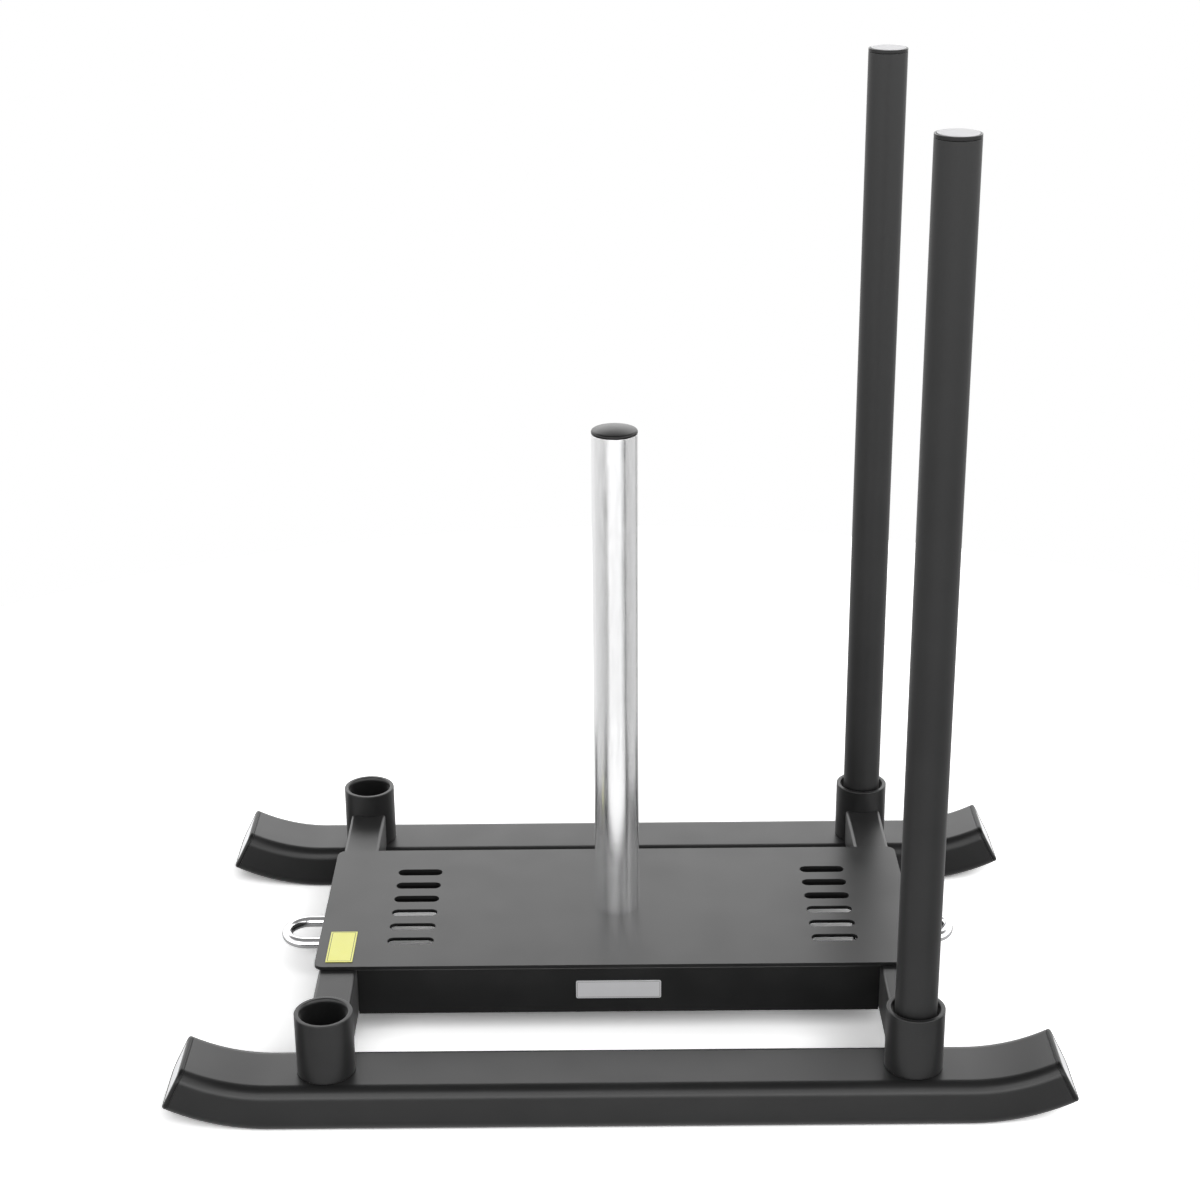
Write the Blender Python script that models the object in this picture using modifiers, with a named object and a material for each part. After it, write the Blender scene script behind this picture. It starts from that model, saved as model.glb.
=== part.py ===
"""Weight sled: two upturned box tube runners, a low deck on box tubes, a chromed plate post, two chromed tow
loops and two push poles that stand loose in tube sockets.

Sizes are in millimetres and become metres when points are made. +X is the rear, where the push poles stand,
+Y is the pusher's right and +Z is up. The origin is on the floor, at the middle of the sled.
"""

import math

import bmesh
import bpy

MM = 0.001

# Fits
GAP = 0.3
ROD_HOLE_CLEARANCE = 0.5
STEM_CLEARANCE = 0.4
CUTTER_REACH = 10.0

# Runners
RUNNER_WIDTH = 80.0
RUNNER_HEIGHT = 50.0
RUNNER_CORNER = 12.5
RUNNER_WALL = 2.0
RUNNER_STRAIGHT_PAST_SOCKET = 55.0
RUNNER_BEND_RADIUS = 236.5
RUNNER_BEND_DEG = 26.3
RUNNER_BEND_STEPS = 9
RUNNER_CENTRE_Y = 254.5

# Runner end plugs and their inlays
PLUG_FLANGE = 4.2
PLUG_STEM = 14.0
PLUG_STEM_CLEARANCE = 1.0
INLAY_MARGIN = 5.5
INLAY_DEPTH = 1.0
INLAY_PROUD = 0.4

# Sockets
SOCKET_DIAMETER = 59.0
SOCKET_BORE = 46.0
SOCKET_HEIGHT = 66.7
SOCKET_LEAD_WIDTH = 2.3
SOCKET_LEAD_DEPTH = 4.0
SOCKET_EDGE = 0.8

# Cross tubes, side beams and the deck on them
TUBE_HEIGHT = 56.0
TUBE_CORNER = 4.0
TUBE_WALL = 2.0
CROSS_WIDTH = 40.0
BEAM_WIDTH = 30.0
BEAM_INSET = 3.2
DECK_LENGTH = 643.0
DECK_WIDTH = 261.0
DECK_THICKNESS = 4.0
DECK_CORNER = 10.0
DECK_OVERHANG = 5.0
DECK_TOP_Z = 95.0
SLOT_WIDTH = 14.0
SLOT_LENGTH = 50.0
SLOT_PITCH = 30.8
SLOT_COUNT = 6
SLOT_FRONT_MARGIN = 98.5
SLOT_REAR_MARGIN = 88.5

# Weight post, its cap and its fastening
POST_DIAMETER = 48.0
POST_WALL = 2.5
POST_LENGTH = 544.0
CAP_RIM = 3.2
CAP_DOME = 3.6
CAP_STEM = 18.0
CAP_DOME_STEPS = 6
INSERT_HEIGHT = 22.0
BOLT_DIAMETER = 12.0
BOLT_HEAD_WIDTH = 19.0
BOLT_HEAD_HEIGHT = 7.5
BOLT_ENGAGEMENT = 18.0
WASHER_THICKNESS = 2.5
WASHER_DIAMETER = 24.0
POST_WASHER_DIAMETER = 32.0

# Push poles
POLE_DIAMETER = 42.4
POLE_WALL = 2.0
POLE_LENGTH = 929.2
POLE_FOOT_FLANGE = 3.0
POLE_CAP_FLANGE = 3.6
POLE_PLUG_STEM = 20.0
DISC_DIAMETER = 38.0
DISC_THICKNESS = 0.9
DISC_RECESS = 0.6

# Tow loops
ROD_DIAMETER = 12.0
LOOP_CENTRE_WIDTH = 48.0
LOOP_REACH = 56.0
LOOP_TAIL = 4.0
LOOP_BEND_STEPS = 12
NUT_WIDTH = 19.0
NUT_HEIGHT = 10.0

# Labels
STICKER_WIDTH = 28.5
STICKER_LENGTH = 63.5
STICKER_THICKNESS = 0.5
STICKER_FRONT_MARGIN = 11.5
STICKER_SIDE_MARGIN = 9.25
LABEL_LENGTH = 90.0
LABEL_HEIGHT = 21.0
LABEL_THICKNESS = 0.8
LABEL_RISE = 1.0
LABEL_CORNER = 2.0

# Facets
CORNER_STEPS = 4
ROUND_STEPS = 40
HOLE_STEPS = 24
ROD_STEPS = 3
SMOOTH_DEG = 32.0
MERGE_DISTANCE = 0.01

# Sizes that follow from the ones above
DECK_BOTTOM_Z = DECK_TOP_Z - DECK_THICKNESS
TUBE_TOP_Z = DECK_BOTTOM_Z - GAP
TUBE_BOTTOM_Z = TUBE_TOP_Z - TUBE_HEIGHT
TUBE_CENTRE_Z = TUBE_TOP_Z - TUBE_HEIGHT / 2
BEAM_CENTRE_Y = DECK_WIDTH / 2 - BEAM_INSET - BEAM_WIDTH / 2
CROSS_OUTER_X = DECK_LENGTH / 2 - DECK_OVERHANG
CROSS_INNER_X = CROSS_OUTER_X - CROSS_WIDTH
SOCKET_X = (CROSS_OUTER_X + CROSS_INNER_X) / 2
RUNNER_STRAIGHT_HALF = SOCKET_X + RUNNER_STRAIGHT_PAST_SOCKET
SOCKET_FOOT_Z = RUNNER_HEIGHT + GAP
SLOT_GROUPS_X = (SLOT_FRONT_MARGIN - DECK_LENGTH / 2, DECK_LENGTH / 2 - SLOT_REAR_MARGIN)
LOOP_BEND = LOOP_CENTRE_WIDTH / 2
LOOP_BEND_X = CROSS_OUTER_X + LOOP_REACH - ROD_DIAMETER / 2 - LOOP_BEND
LOOP_END_X = CROSS_INNER_X - WASHER_THICKNESS - NUT_HEIGHT - 2 * GAP - LOOP_TAIL
HOLE_DIAMETER = ROD_DIAMETER + 2 * ROD_HOLE_CLEARANCE
BOLT_HOLE_DIAMETER = BOLT_DIAMETER + 2 * ROD_HOLE_CLEARANCE
POST_FOOT_Z = DECK_TOP_Z + GAP
POST_TOP_Z = POST_FOOT_Z + POST_LENGTH
POLE_FOOT_Z = SOCKET_FOOT_Z
POLE_START_Z = POLE_FOOT_Z + POLE_FOOT_FLANGE + GAP
POLE_TOP_Z = POLE_START_Z + POLE_LENGTH

ENDS = (("front", -1), ("rear", 1))
SIDES = (("left", -1), ("right", 1))


def clear_scene():
    for item in list(bpy.data.objects):
        bpy.data.objects.remove(item)


def make_collection(name):
    group = bpy.data.collections.new(name)
    bpy.context.scene.collection.children.link(group)
    return group


def make_material(name, colour, metallic, roughness):
    material = bpy.data.materials.new(name)
    material.use_nodes = True
    shader = material.node_tree.nodes["Principled BSDF"]
    shader.inputs["Base Color"].default_value = (*colour, 1.0)
    shader.inputs["Metallic"].default_value = metallic
    shader.inputs["Roughness"].default_value = roughness
    material.diffuse_color = (*colour, 1.0)
    return material


def rounded_rectangle(width, height, corner, centre=(0.0, 0.0)):
    """Points of a rectangle with arcs at its corners, counterclockwise from the lower right one."""
    corner = min(corner, width / 2, height / 2)
    points = []
    for quarter, (side, level) in enumerate(((1, -1), (1, 1), (-1, 1), (-1, -1))):
        x = centre[0] + side * (width / 2 - corner)
        y = centre[1] + level * (height / 2 - corner)
        for step in range(CORNER_STEPS + 1):
            angle = math.radians(-90 + 90 * quarter + 90 * step / CORNER_STEPS)
            points.append((x + corner * math.cos(angle), y + corner * math.sin(angle)))
    return points


def slot_outline(width, length, centre):
    """Points of a slot along X whose ends are half circles."""
    points = []
    reach = length / 2 - width / 2
    for start, side in ((-90, 1), (90, -1)):
        for step in range(2 * CORNER_STEPS + 1):
            angle = math.radians(start + 180 * step / (2 * CORNER_STEPS))
            y = centre[1] + width / 2 * math.sin(angle)
            points.append((centre[0] + side * reach + width / 2 * math.cos(angle), y))
    return points


def circle_outline(diameter):
    angles = [2 * math.pi * step / HOLE_STEPS for step in range(HOLE_STEPS)]
    return [(diameter / 2 * math.cos(a), diameter / 2 * math.sin(a)) for a in angles]


def extruded(name, outlines, thickness, group):
    """A flat outline, with any holes in it, extruded to the thickness about its own plane, as a mesh."""
    curve = bpy.data.curves.new(name, "CURVE")
    curve.dimensions = "2D"
    curve.fill_mode = "BOTH"
    curve.extrude = thickness * MM / 2
    for outline in outlines:
        spline = curve.splines.new("POLY")
        spline.points.add(len(outline) - 1)
        for point, (x, y) in zip(spline.points, outline):
            point.co = (x * MM, y * MM, 0.0, 1.0)
        spline.use_cyclic_u = True
    return meshed(bpy.data.objects.new(name, curve), name, group)


def meshed(guide, name, group):
    """The curve object as a mesh object, with its loose caps welded on."""
    bpy.context.scene.collection.objects.link(guide)
    bpy.context.view_layer.update()
    seen = guide.evaluated_get(bpy.context.evaluated_depsgraph_get())
    data = bpy.data.meshes.new_from_object(seen)
    work = bmesh.new()
    work.from_mesh(data)
    bmesh.ops.remove_doubles(work, verts=work.verts, dist=MERGE_DISTANCE * MM)
    bmesh.ops.recalc_face_normals(work, faces=work.faces)
    work.to_mesh(data)
    work.free()
    part = bpy.data.objects.new(name, data)
    part.matrix_world = guide.matrix_world
    curve = guide.data
    bpy.data.objects.remove(guide)
    bpy.data.curves.remove(curve)
    part.name = name
    group.objects.link(part)
    return part


def turned(name, profile, closed, group, steps=ROUND_STEPS):
    """A profile of radius and height turned about the Z axis."""
    data = bpy.data.meshes.new(name)
    work = bmesh.new()
    points = [work.verts.new((radius * MM, 0.0, height * MM)) for radius, height in profile]
    for first, second in zip(points, points[1:]):
        work.edges.new((first, second))
    if closed:
        work.edges.new((points[-1], points[0]))
    work.to_mesh(data)
    work.free()
    part = bpy.data.objects.new(name, data)
    group.objects.link(part)
    screw = part.modifiers.new("Turn", "SCREW")
    screw.axis = "Z"
    screw.steps = steps
    screw.render_steps = steps
    screw.use_merge_vertices = True
    screw.merge_threshold = MERGE_DISTANCE * MM
    screw.use_smooth_shade = True
    return part


def cylinder(name, diameter, length, group, sides=HOLE_STEPS):
    """A cylinder or prism along Z about its own middle."""
    data = bpy.data.meshes.new(name)
    work = bmesh.new()
    bmesh.ops.create_cone(
        work,
        cap_ends=True,
        segments=sides,
        radius1=diameter * MM / 2,
        radius2=diameter * MM / 2,
        depth=length * MM,
    )
    work.to_mesh(data)
    work.free()
    part = bpy.data.objects.new(name, data)
    group.objects.link(part)
    return part


def hexagon(name, across_flats, length, group):
    """A hexagonal prism along Z about its own middle."""
    return cylinder(name, across_flats / math.cos(math.pi / 6), length, group, 6)


def place(part, position, turn_deg=(0.0, 0.0, 0.0)):
    part.location = [value * MM for value in position]
    part.rotation_euler = [math.radians(value) for value in turn_deg]
    return part


def boolean(part, other, operation):
    """Cuts the other object from the part, or joins it to the part, and hides it."""
    step = part.modifiers.new(other.name, "BOOLEAN")
    step.operation = operation
    step.solver = "EXACT"
    step.object = other
    other.hide_render = True
    other.display_type = "WIRE"


def finish(part, material):
    """Gives the part its material and smooth shading with sharp edges."""
    part.data.materials.clear()
    part.data.materials.append(material)
    part.data.shade_smooth()
    part.data.set_sharp_from_angle(angle=math.radians(SMOOTH_DEG))
    return part


def box_tube(name, width, length, group):
    """A box tube of the shared height and wall, along its own Z axis, with its height along its own Y."""
    outer = rounded_rectangle(width, TUBE_HEIGHT, TUBE_CORNER)
    inner_corner = max(TUBE_CORNER - TUBE_WALL, TUBE_WALL / 4)
    inner = rounded_rectangle(width - 2 * TUBE_WALL, TUBE_HEIGHT - 2 * TUBE_WALL, inner_corner)
    return extruded(name, (outer, inner), length, group)


def make_runner(name, side, group):
    """Half a bent skin of the tube, mirrored, then given its wall."""
    data = bpy.data.meshes.new(name)
    work = bmesh.new()
    section = rounded_rectangle(RUNNER_WIDTH, RUNNER_HEIGHT, RUNNER_CORNER, (0.0, RUNNER_HEIGHT / 2))
    ring = [work.verts.new((0.0, y * MM, z * MM)) for y, z in section]
    edges = [work.edges.new((ring[i - 1], ring[i])) for i in range(len(ring))]
    straight = bmesh.ops.extrude_edge_only(work, edges=edges)["geom"]
    moved = [item for item in straight if isinstance(item, bmesh.types.BMVert)]
    bmesh.ops.translate(work, verts=moved, vec=(RUNNER_STRAIGHT_HALF * MM, 0.0, 0.0))
    bend_from = [item for item in straight if isinstance(item, bmesh.types.BMEdge)]
    bmesh.ops.spin(
        work,
        geom=bend_from,
        cent=(RUNNER_STRAIGHT_HALF * MM, 0.0, RUNNER_BEND_RADIUS * MM),
        axis=(0.0, -1.0, 0.0),
        angle=math.radians(RUNNER_BEND_DEG),
        steps=RUNNER_BEND_STEPS,
    )
    bmesh.ops.recalc_face_normals(work, faces=work.faces)
    work.to_mesh(data)
    work.free()
    part = bpy.data.objects.new(name, data)
    group.objects.link(part)
    mirror = part.modifiers.new("Other half", "MIRROR")
    mirror.use_axis[0] = True
    mirror.merge_threshold = MERGE_DISTANCE * MM
    wall = part.modifiers.new("Wall", "SOLIDIFY")
    wall.thickness = RUNNER_WALL * MM
    wall.offset = -1.0
    wall.use_even_offset = True
    wall.use_quality_normals = True
    return place(part, (0.0, side * RUNNER_CENTRE_Y, 0.0))


def place_at_runner_end(part, end, side, outward):
    """Sets a flat piece square across a runner's axis, the given distance past the tube's end."""
    angle = math.radians(RUNNER_BEND_DEG)
    axis_radius = RUNNER_BEND_RADIUS - RUNNER_HEIGHT / 2
    x = RUNNER_STRAIGHT_HALF + axis_radius * math.sin(angle) + outward * math.cos(angle)
    z = RUNNER_BEND_RADIUS - axis_radius * math.cos(angle) + outward * math.sin(angle)
    place(part, (end * x, side * RUNNER_CENTRE_Y, z), (90.0 - RUNNER_BEND_DEG, 0.0, 90.0 * end))


def make_plug(name, end, side, parts, cutters, plastic):
    """A plastic plug: a flange across the tube's end, a stem inside the tube and a recess for the inlay."""
    outline = rounded_rectangle(RUNNER_WIDTH, RUNNER_HEIGHT, RUNNER_CORNER)
    flange = extruded(name, [outline], PLUG_FLANGE, parts)
    place_at_runner_end(flange, end, side, GAP + PLUG_FLANGE / 2)
    inset = 2 * (RUNNER_WALL + PLUG_STEM_CLEARANCE)
    stem_corner = max(RUNNER_CORNER - inset / 2, TUBE_WALL)
    stem_outline = rounded_rectangle(RUNNER_WIDTH - inset, RUNNER_HEIGHT - inset, stem_corner)
    stem = extruded(name + "_stem", [stem_outline], PLUG_STEM, cutters)
    place_at_runner_end(stem, end, side, GAP + PLUG_FLANGE / 2 - PLUG_STEM / 2)
    boolean(flange, stem, "UNION")
    recess = extruded(name + "_recess", [inlay_outline(GAP)], 2 * INLAY_DEPTH, cutters)
    place_at_runner_end(recess, end, side, GAP + PLUG_FLANGE)
    boolean(flange, recess, "DIFFERENCE")
    finish(flange, plastic)


def inlay_outline(extra):
    width = RUNNER_WIDTH - 2 * INLAY_MARGIN + 2 * extra
    height = RUNNER_HEIGHT - 2 * INLAY_MARGIN + 2 * extra
    return rounded_rectangle(width, height, max(RUNNER_CORNER - INLAY_MARGIN, TUBE_WALL) + extra)


def make_inlay(name, end, side, parts, bright):
    thickness = INLAY_DEPTH - GAP + INLAY_PROUD
    inlay = extruded(name, [inlay_outline(0.0)], thickness, parts)
    place_at_runner_end(inlay, end, side, GAP + PLUG_FLANGE + INLAY_PROUD - thickness / 2)
    finish(inlay, bright)


def make_socket(name, end, side, parts, paint):
    """A thick short tube with a small outer edge and a lead-in cone at its mouth."""
    outer = SOCKET_DIAMETER / 2
    bore = SOCKET_BORE / 2
    profile = (
        (bore + SOCKET_LEAD_WIDTH, SOCKET_HEIGHT),
        (outer - SOCKET_EDGE, SOCKET_HEIGHT),
        (outer, SOCKET_HEIGHT - SOCKET_EDGE),
        (outer, 0.0),
        (bore, 0.0),
        (bore, SOCKET_HEIGHT - SOCKET_LEAD_DEPTH),
    )
    socket = turned(name, profile, True, parts)
    place(socket, (end * SOCKET_X, side * RUNNER_CENTRE_Y, SOCKET_FOOT_Z))
    finish(socket, paint)


def make_cross_tube(name, end, parts, cutters, paint):
    """A box tube along Y, coped over both runners and round both sockets, with holes for the tow loop."""
    tube = box_tube(name, CROSS_WIDTH, 2 * RUNNER_CENTRE_Y, parts)
    place(tube, (end * SOCKET_X, 0.0, TUBE_CENTRE_Z), (90.0, 0.0, 0.0))
    for side_name, side in SIDES:
        runner_room = rounded_rectangle(RUNNER_WIDTH + 2 * GAP, RUNNER_HEIGHT + 2 * GAP, RUNNER_CORNER + GAP)
        cope = extruded(f"{name}_{side_name}_cope", [runner_room], CROSS_WIDTH + 2 * CUTTER_REACH, cutters)
        place(cope, (end * SOCKET_X, side * RUNNER_CENTRE_Y, RUNNER_HEIGHT / 2), (90.0, 0.0, 90.0))
        boolean(tube, cope, "DIFFERENCE")
        reach = 2 * (SOCKET_FOOT_Z + SOCKET_HEIGHT)
        room = SOCKET_DIAMETER + 2 * GAP
        saddle = cylinder(f"{name}_{side_name}_saddle", room, reach, cutters, 2 * ROUND_STEPS)
        place(saddle, (end * SOCKET_X, side * RUNNER_CENTRE_Y, reach / 2))
        boolean(tube, saddle, "DIFFERENCE")
        hole = cylinder(f"{name}_{side_name}_hole", HOLE_DIAMETER, CROSS_WIDTH + 2 * CUTTER_REACH, cutters)
        place(hole, (end * SOCKET_X, side * LOOP_BEND, TUBE_CENTRE_Z), (0.0, 90.0, 0.0))
        boolean(tube, hole, "DIFFERENCE")
    finish(tube, paint)


def make_side_beam(name, side, parts, paint):
    beam = box_tube(name, BEAM_WIDTH, 2 * (CROSS_INNER_X - GAP), parts)
    place(beam, (0.0, side * BEAM_CENTRE_Y, TUBE_CENTRE_Z), (90.0, 0.0, 90.0))
    finish(beam, paint)


def make_centre_tube(parts, cutters, paint):
    """The box tube between the side beams that carries the weight post, with a hole for its bolt."""
    span = 2 * (BEAM_CENTRE_Y - BEAM_WIDTH / 2 - GAP)
    tube = box_tube("centre_cross_tube", CROSS_WIDTH, span, parts)
    place(tube, (0.0, 0.0, TUBE_CENTRE_Z), (90.0, 0.0, 0.0))
    hole = cylinder("centre_bolt_hole", BOLT_HOLE_DIAMETER, TUBE_HEIGHT + 2 * CUTTER_REACH, cutters)
    place(hole, (0.0, 0.0, TUBE_CENTRE_Z))
    boolean(tube, hole, "DIFFERENCE")
    finish(tube, paint)


def make_deck(parts, paint):
    """The deck: one plate with a ladder of slots near each end and a bolt hole under the post."""
    outlines = [rounded_rectangle(DECK_LENGTH, DECK_WIDTH, DECK_CORNER), circle_outline(BOLT_HOLE_DIAMETER)]
    for group_x in SLOT_GROUPS_X:
        for index in range(SLOT_COUNT):
            level = (index - (SLOT_COUNT - 1) / 2) * SLOT_PITCH
            outlines.append(slot_outline(SLOT_WIDTH, SLOT_LENGTH, (group_x, level)))
    deck = extruded("deck_plate", outlines, DECK_THICKNESS, parts)
    place(deck, (0.0, 0.0, DECK_TOP_Z - DECK_THICKNESS / 2))
    finish(deck, paint)


def tube_profile(diameter, wall, length):
    outer = diameter / 2
    return ((outer - wall, length), (outer, length), (outer, 0.0), (outer - wall, 0.0))


def dome_profile(radius, rim, dome):
    """Radius and height from the top of a shallow dome down to its rim."""
    points = []
    for step in range(CAP_DOME_STEPS + 1):
        angle = math.radians(90 * step / CAP_DOME_STEPS)
        points.append((radius * math.sin(angle), rim + dome * math.cos(angle)))
    return points


def make_post(parts, chrome, plastic, steel):
    """The chromed post, its domed cap and the threaded block in its foot."""
    post = turned("weight_post", tube_profile(POST_DIAMETER, POST_WALL, POST_LENGTH), True, parts)
    place(post, (0.0, 0.0, POST_FOOT_Z))
    finish(post, chrome)
    inner = POST_DIAMETER / 2 - POST_WALL - STEM_CLEARANCE
    profile = dome_profile(POST_DIAMETER / 2, CAP_RIM, CAP_DOME)
    profile += [(POST_DIAMETER / 2, 0.0), (inner, 0.0), (inner, -CAP_STEM), (0.0, -CAP_STEM)]
    cap = turned("weight_post_cap", profile, False, parts)
    place(cap, (0.0, 0.0, POST_TOP_Z + GAP))
    finish(cap, plastic)
    hole = BOLT_DIAMETER / 2 + GAP
    block = ((hole, INSERT_HEIGHT), (inner, INSERT_HEIGHT), (inner, 0.0), (hole, 0.0))
    insert = turned("weight_post_insert", block, True, parts)
    place(insert, (0.0, 0.0, POST_FOOT_Z))
    finish(insert, steel)


def make_post_fastening(parts, cutters, steel):
    """The bolt that comes up through the centre tube and the deck, with its washer."""
    washer_top = TUBE_BOTTOM_Z - GAP
    ring = BOLT_DIAMETER / 2 + ROD_HOLE_CLEARANCE
    outer = POST_WASHER_DIAMETER / 2
    profile = ((ring, 0.0), (outer, 0.0), (outer, -WASHER_THICKNESS), (ring, -WASHER_THICKNESS))
    washer = turned("weight_post_washer", profile, True, parts)
    place(washer, (0.0, 0.0, washer_top))
    finish(washer, steel)
    head_top = washer_top - WASHER_THICKNESS - GAP
    bolt = hexagon("weight_post_bolt", BOLT_HEAD_WIDTH, BOLT_HEAD_HEIGHT, parts)
    place(bolt, (0.0, 0.0, head_top - BOLT_HEAD_HEIGHT / 2))
    shank_top = POST_FOOT_Z + BOLT_ENGAGEMENT
    shank_length = shank_top - head_top + BOLT_HEAD_HEIGHT / 2
    shank = cylinder("weight_post_bolt_shank", BOLT_DIAMETER, shank_length, cutters)
    place(shank, (0.0, 0.0, shank_top - shank_length / 2))
    boolean(bolt, shank, "UNION")
    finish(bolt, steel)


def make_push_pole(side_name, side, parts, paint, plastic, pale):
    """A push pole with its top cap, the disc in the cap and the plug in its foot, on the slide's axis."""
    name = f"{side_name}_push_pole"
    axis = bpy.data.objects.new(f"{side_name}_lift_axis", None)
    parts.objects.link(axis)
    place(axis, (SOCKET_X, side * RUNNER_CENTRE_Y, 0.0))
    outer = POLE_DIAMETER / 2
    inner = outer - POLE_WALL - STEM_CLEARANCE
    pole = turned(name, tube_profile(POLE_DIAMETER, POLE_WALL, POLE_LENGTH), True, parts)
    pole.location.z = POLE_START_Z * MM
    disc = DISC_DIAMETER / 2
    seat = POLE_CAP_FLANGE - DISC_RECESS
    cap_profile = ((0.0, seat), (disc + GAP, seat), (disc + GAP, POLE_CAP_FLANGE), (outer, POLE_CAP_FLANGE))
    cap_profile += ((outer, 0.0), (inner, 0.0), (inner, -POLE_PLUG_STEM), (0.0, -POLE_PLUG_STEM))
    cap = turned(name + "_cap", cap_profile, False, parts)
    cap.location.z = (POLE_TOP_Z + GAP) * MM
    disc_profile = ((0.0, DISC_THICKNESS), (disc, DISC_THICKNESS), (disc, 0.0), (0.0, 0.0))
    plate = turned(name + "_disc", disc_profile, False, parts)
    plate.location.z = (POLE_TOP_Z + GAP + seat + GAP) * MM
    foot_profile = ((0.0, POLE_PLUG_STEM), (inner, POLE_PLUG_STEM), (inner, 0.0), (outer, 0.0))
    foot_profile += ((outer, -POLE_FOOT_FLANGE), (0.0, -POLE_FOOT_FLANGE))
    foot = turned(name + "_foot", foot_profile, False, parts)
    foot.location.z = (POLE_FOOT_Z + POLE_FOOT_FLANGE) * MM
    for piece, material in ((pole, paint), (cap, plastic), (plate, pale), (foot, plastic)):
        piece.parent = axis
        finish(piece, material)


def make_tow_loop(name, end, parts, chrome):
    """A rod bent to a half circle, with both legs through the cross tube."""
    path = [(LOOP_END_X, -LOOP_BEND)]
    for step in range(LOOP_BEND_STEPS + 1):
        angle = math.radians(-90 + 180 * step / LOOP_BEND_STEPS)
        path.append((LOOP_BEND_X + LOOP_BEND * math.cos(angle), LOOP_BEND * math.sin(angle)))
    path.append((LOOP_END_X, LOOP_BEND))
    curve = bpy.data.curves.new(name, "CURVE")
    curve.dimensions = "3D"
    curve.bevel_depth = ROD_DIAMETER * MM / 2
    curve.bevel_resolution = ROD_STEPS
    curve.use_fill_caps = True
    spline = curve.splines.new("POLY")
    spline.points.add(len(path) - 1)
    for point, (x, y) in zip(spline.points, path):
        point.co = (end * x * MM, y * MM, TUBE_CENTRE_Z * MM, 1.0)
    finish(meshed(bpy.data.objects.new(name, curve), name, parts), chrome)


def make_loop_fasteners(end_name, end, side_name, side, parts, cutters, steel):
    """The nut and washer on one leg of a tow loop, against the inner face of the cross tube."""
    washer_x = CROSS_INNER_X - GAP
    ring = ROD_DIAMETER / 2 + ROD_HOLE_CLEARANCE
    outer = WASHER_DIAMETER / 2
    profile = ((ring, 0.0), (outer, 0.0), (outer, -WASHER_THICKNESS), (ring, -WASHER_THICKNESS))
    washer = turned(f"{end_name}_tow_loop_{side_name}_washer", profile, True, parts, HOLE_STEPS)
    place(washer, (end * washer_x, side * LOOP_BEND, TUBE_CENTRE_Z), (0.0, 90.0 * end, 0.0))
    finish(washer, steel)
    nut = hexagon(f"{end_name}_tow_loop_{side_name}_nut", NUT_WIDTH, NUT_HEIGHT, parts)
    nut_x = washer_x - WASHER_THICKNESS - GAP - NUT_HEIGHT / 2
    place(nut, (end * nut_x, side * LOOP_BEND, TUBE_CENTRE_Z), (0.0, 90.0, 0.0))
    thread = cylinder(nut.name + "_thread", ROD_DIAMETER + 2 * GAP, NUT_HEIGHT + 2 * CUTTER_REACH, cutters)
    place(thread, (end * nut_x, side * LOOP_BEND, TUBE_CENTRE_Z), (0.0, 90.0, 0.0))
    boolean(nut, thread, "DIFFERENCE")
    finish(nut, steel)


def make_labels(parts, yellow, silver):
    """The bare sticker on the deck and the bare label on the left side beam."""
    sticker_outline = rounded_rectangle(STICKER_WIDTH, STICKER_LENGTH, STICKER_THICKNESS)
    sticker = extruded("weight_sticker", [sticker_outline], STICKER_THICKNESS, parts)
    sticker_x = STICKER_FRONT_MARGIN + STICKER_WIDTH / 2 - DECK_LENGTH / 2
    sticker_y = STICKER_SIDE_MARGIN + STICKER_LENGTH / 2 - DECK_WIDTH / 2
    place(sticker, (sticker_x, sticker_y, DECK_TOP_Z + GAP + STICKER_THICKNESS / 2))
    finish(sticker, yellow)
    label_outline = rounded_rectangle(LABEL_LENGTH, LABEL_HEIGHT, LABEL_CORNER)
    label = extruded("label_plate", [label_outline], LABEL_THICKNESS, parts)
    label_y = -(BEAM_CENTRE_Y + BEAM_WIDTH / 2 + GAP + LABEL_THICKNESS / 2)
    place(label, (0.0, label_y, TUBE_CENTRE_Z + LABEL_RISE), (90.0, 0.0, 0.0))
    finish(label, silver)


def main():
    clear_scene()
    parts = make_collection("weight_sled")
    cutters = make_collection("cutters")
    paint = make_material("black_powder_coat", (0.022, 0.022, 0.023), 0.0, 0.42)
    chrome = make_material("chrome", (0.78, 0.78, 0.79), 1.0, 0.08)
    plastic = make_material("black_plastic", (0.012, 0.012, 0.012), 0.0, 0.3)
    bright = make_material("bright_inlay", (0.8, 0.8, 0.8), 0.6, 0.3)
    pale = make_material("pale_disc", (0.72, 0.72, 0.73), 0.0, 0.45)
    steel = make_material("zinc_steel", (0.55, 0.55, 0.56), 1.0, 0.35)
    yellow = make_material("yellow_film", (0.95, 0.93, 0.22), 0.0, 0.4)
    silver = make_material("silver_film", (0.5, 0.5, 0.51), 0.4, 0.4)
    for side_name, side in SIDES:
        finish(make_runner(f"{side_name}_runner", side, parts), paint)
        make_side_beam(f"{side_name}_side_beam", side, parts, paint)
        make_push_pole(side_name, side, parts, paint, plastic, pale)
        for end_name, end in ENDS:
            make_socket(f"{end_name}_{side_name}_socket", end, side, parts, paint)
            plug_name = f"{side_name}_runner_{end_name}_plug"
            make_plug(plug_name, end, side, parts, cutters, plastic)
            make_inlay(plug_name + "_inlay", end, side, parts, bright)
            make_loop_fasteners(end_name, end, side_name, side, parts, cutters, steel)
    for end_name, end in ENDS:
        make_cross_tube(f"{end_name}_cross_tube", end, parts, cutters, paint)
        make_tow_loop(f"{end_name}_tow_loop", end, parts, chrome)
    make_centre_tube(parts, cutters, paint)
    make_deck(parts, paint)
    make_post(parts, chrome, plastic, steel)
    make_post_fastening(parts, cutters, steel)
    make_labels(parts, yellow, silver)


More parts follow.
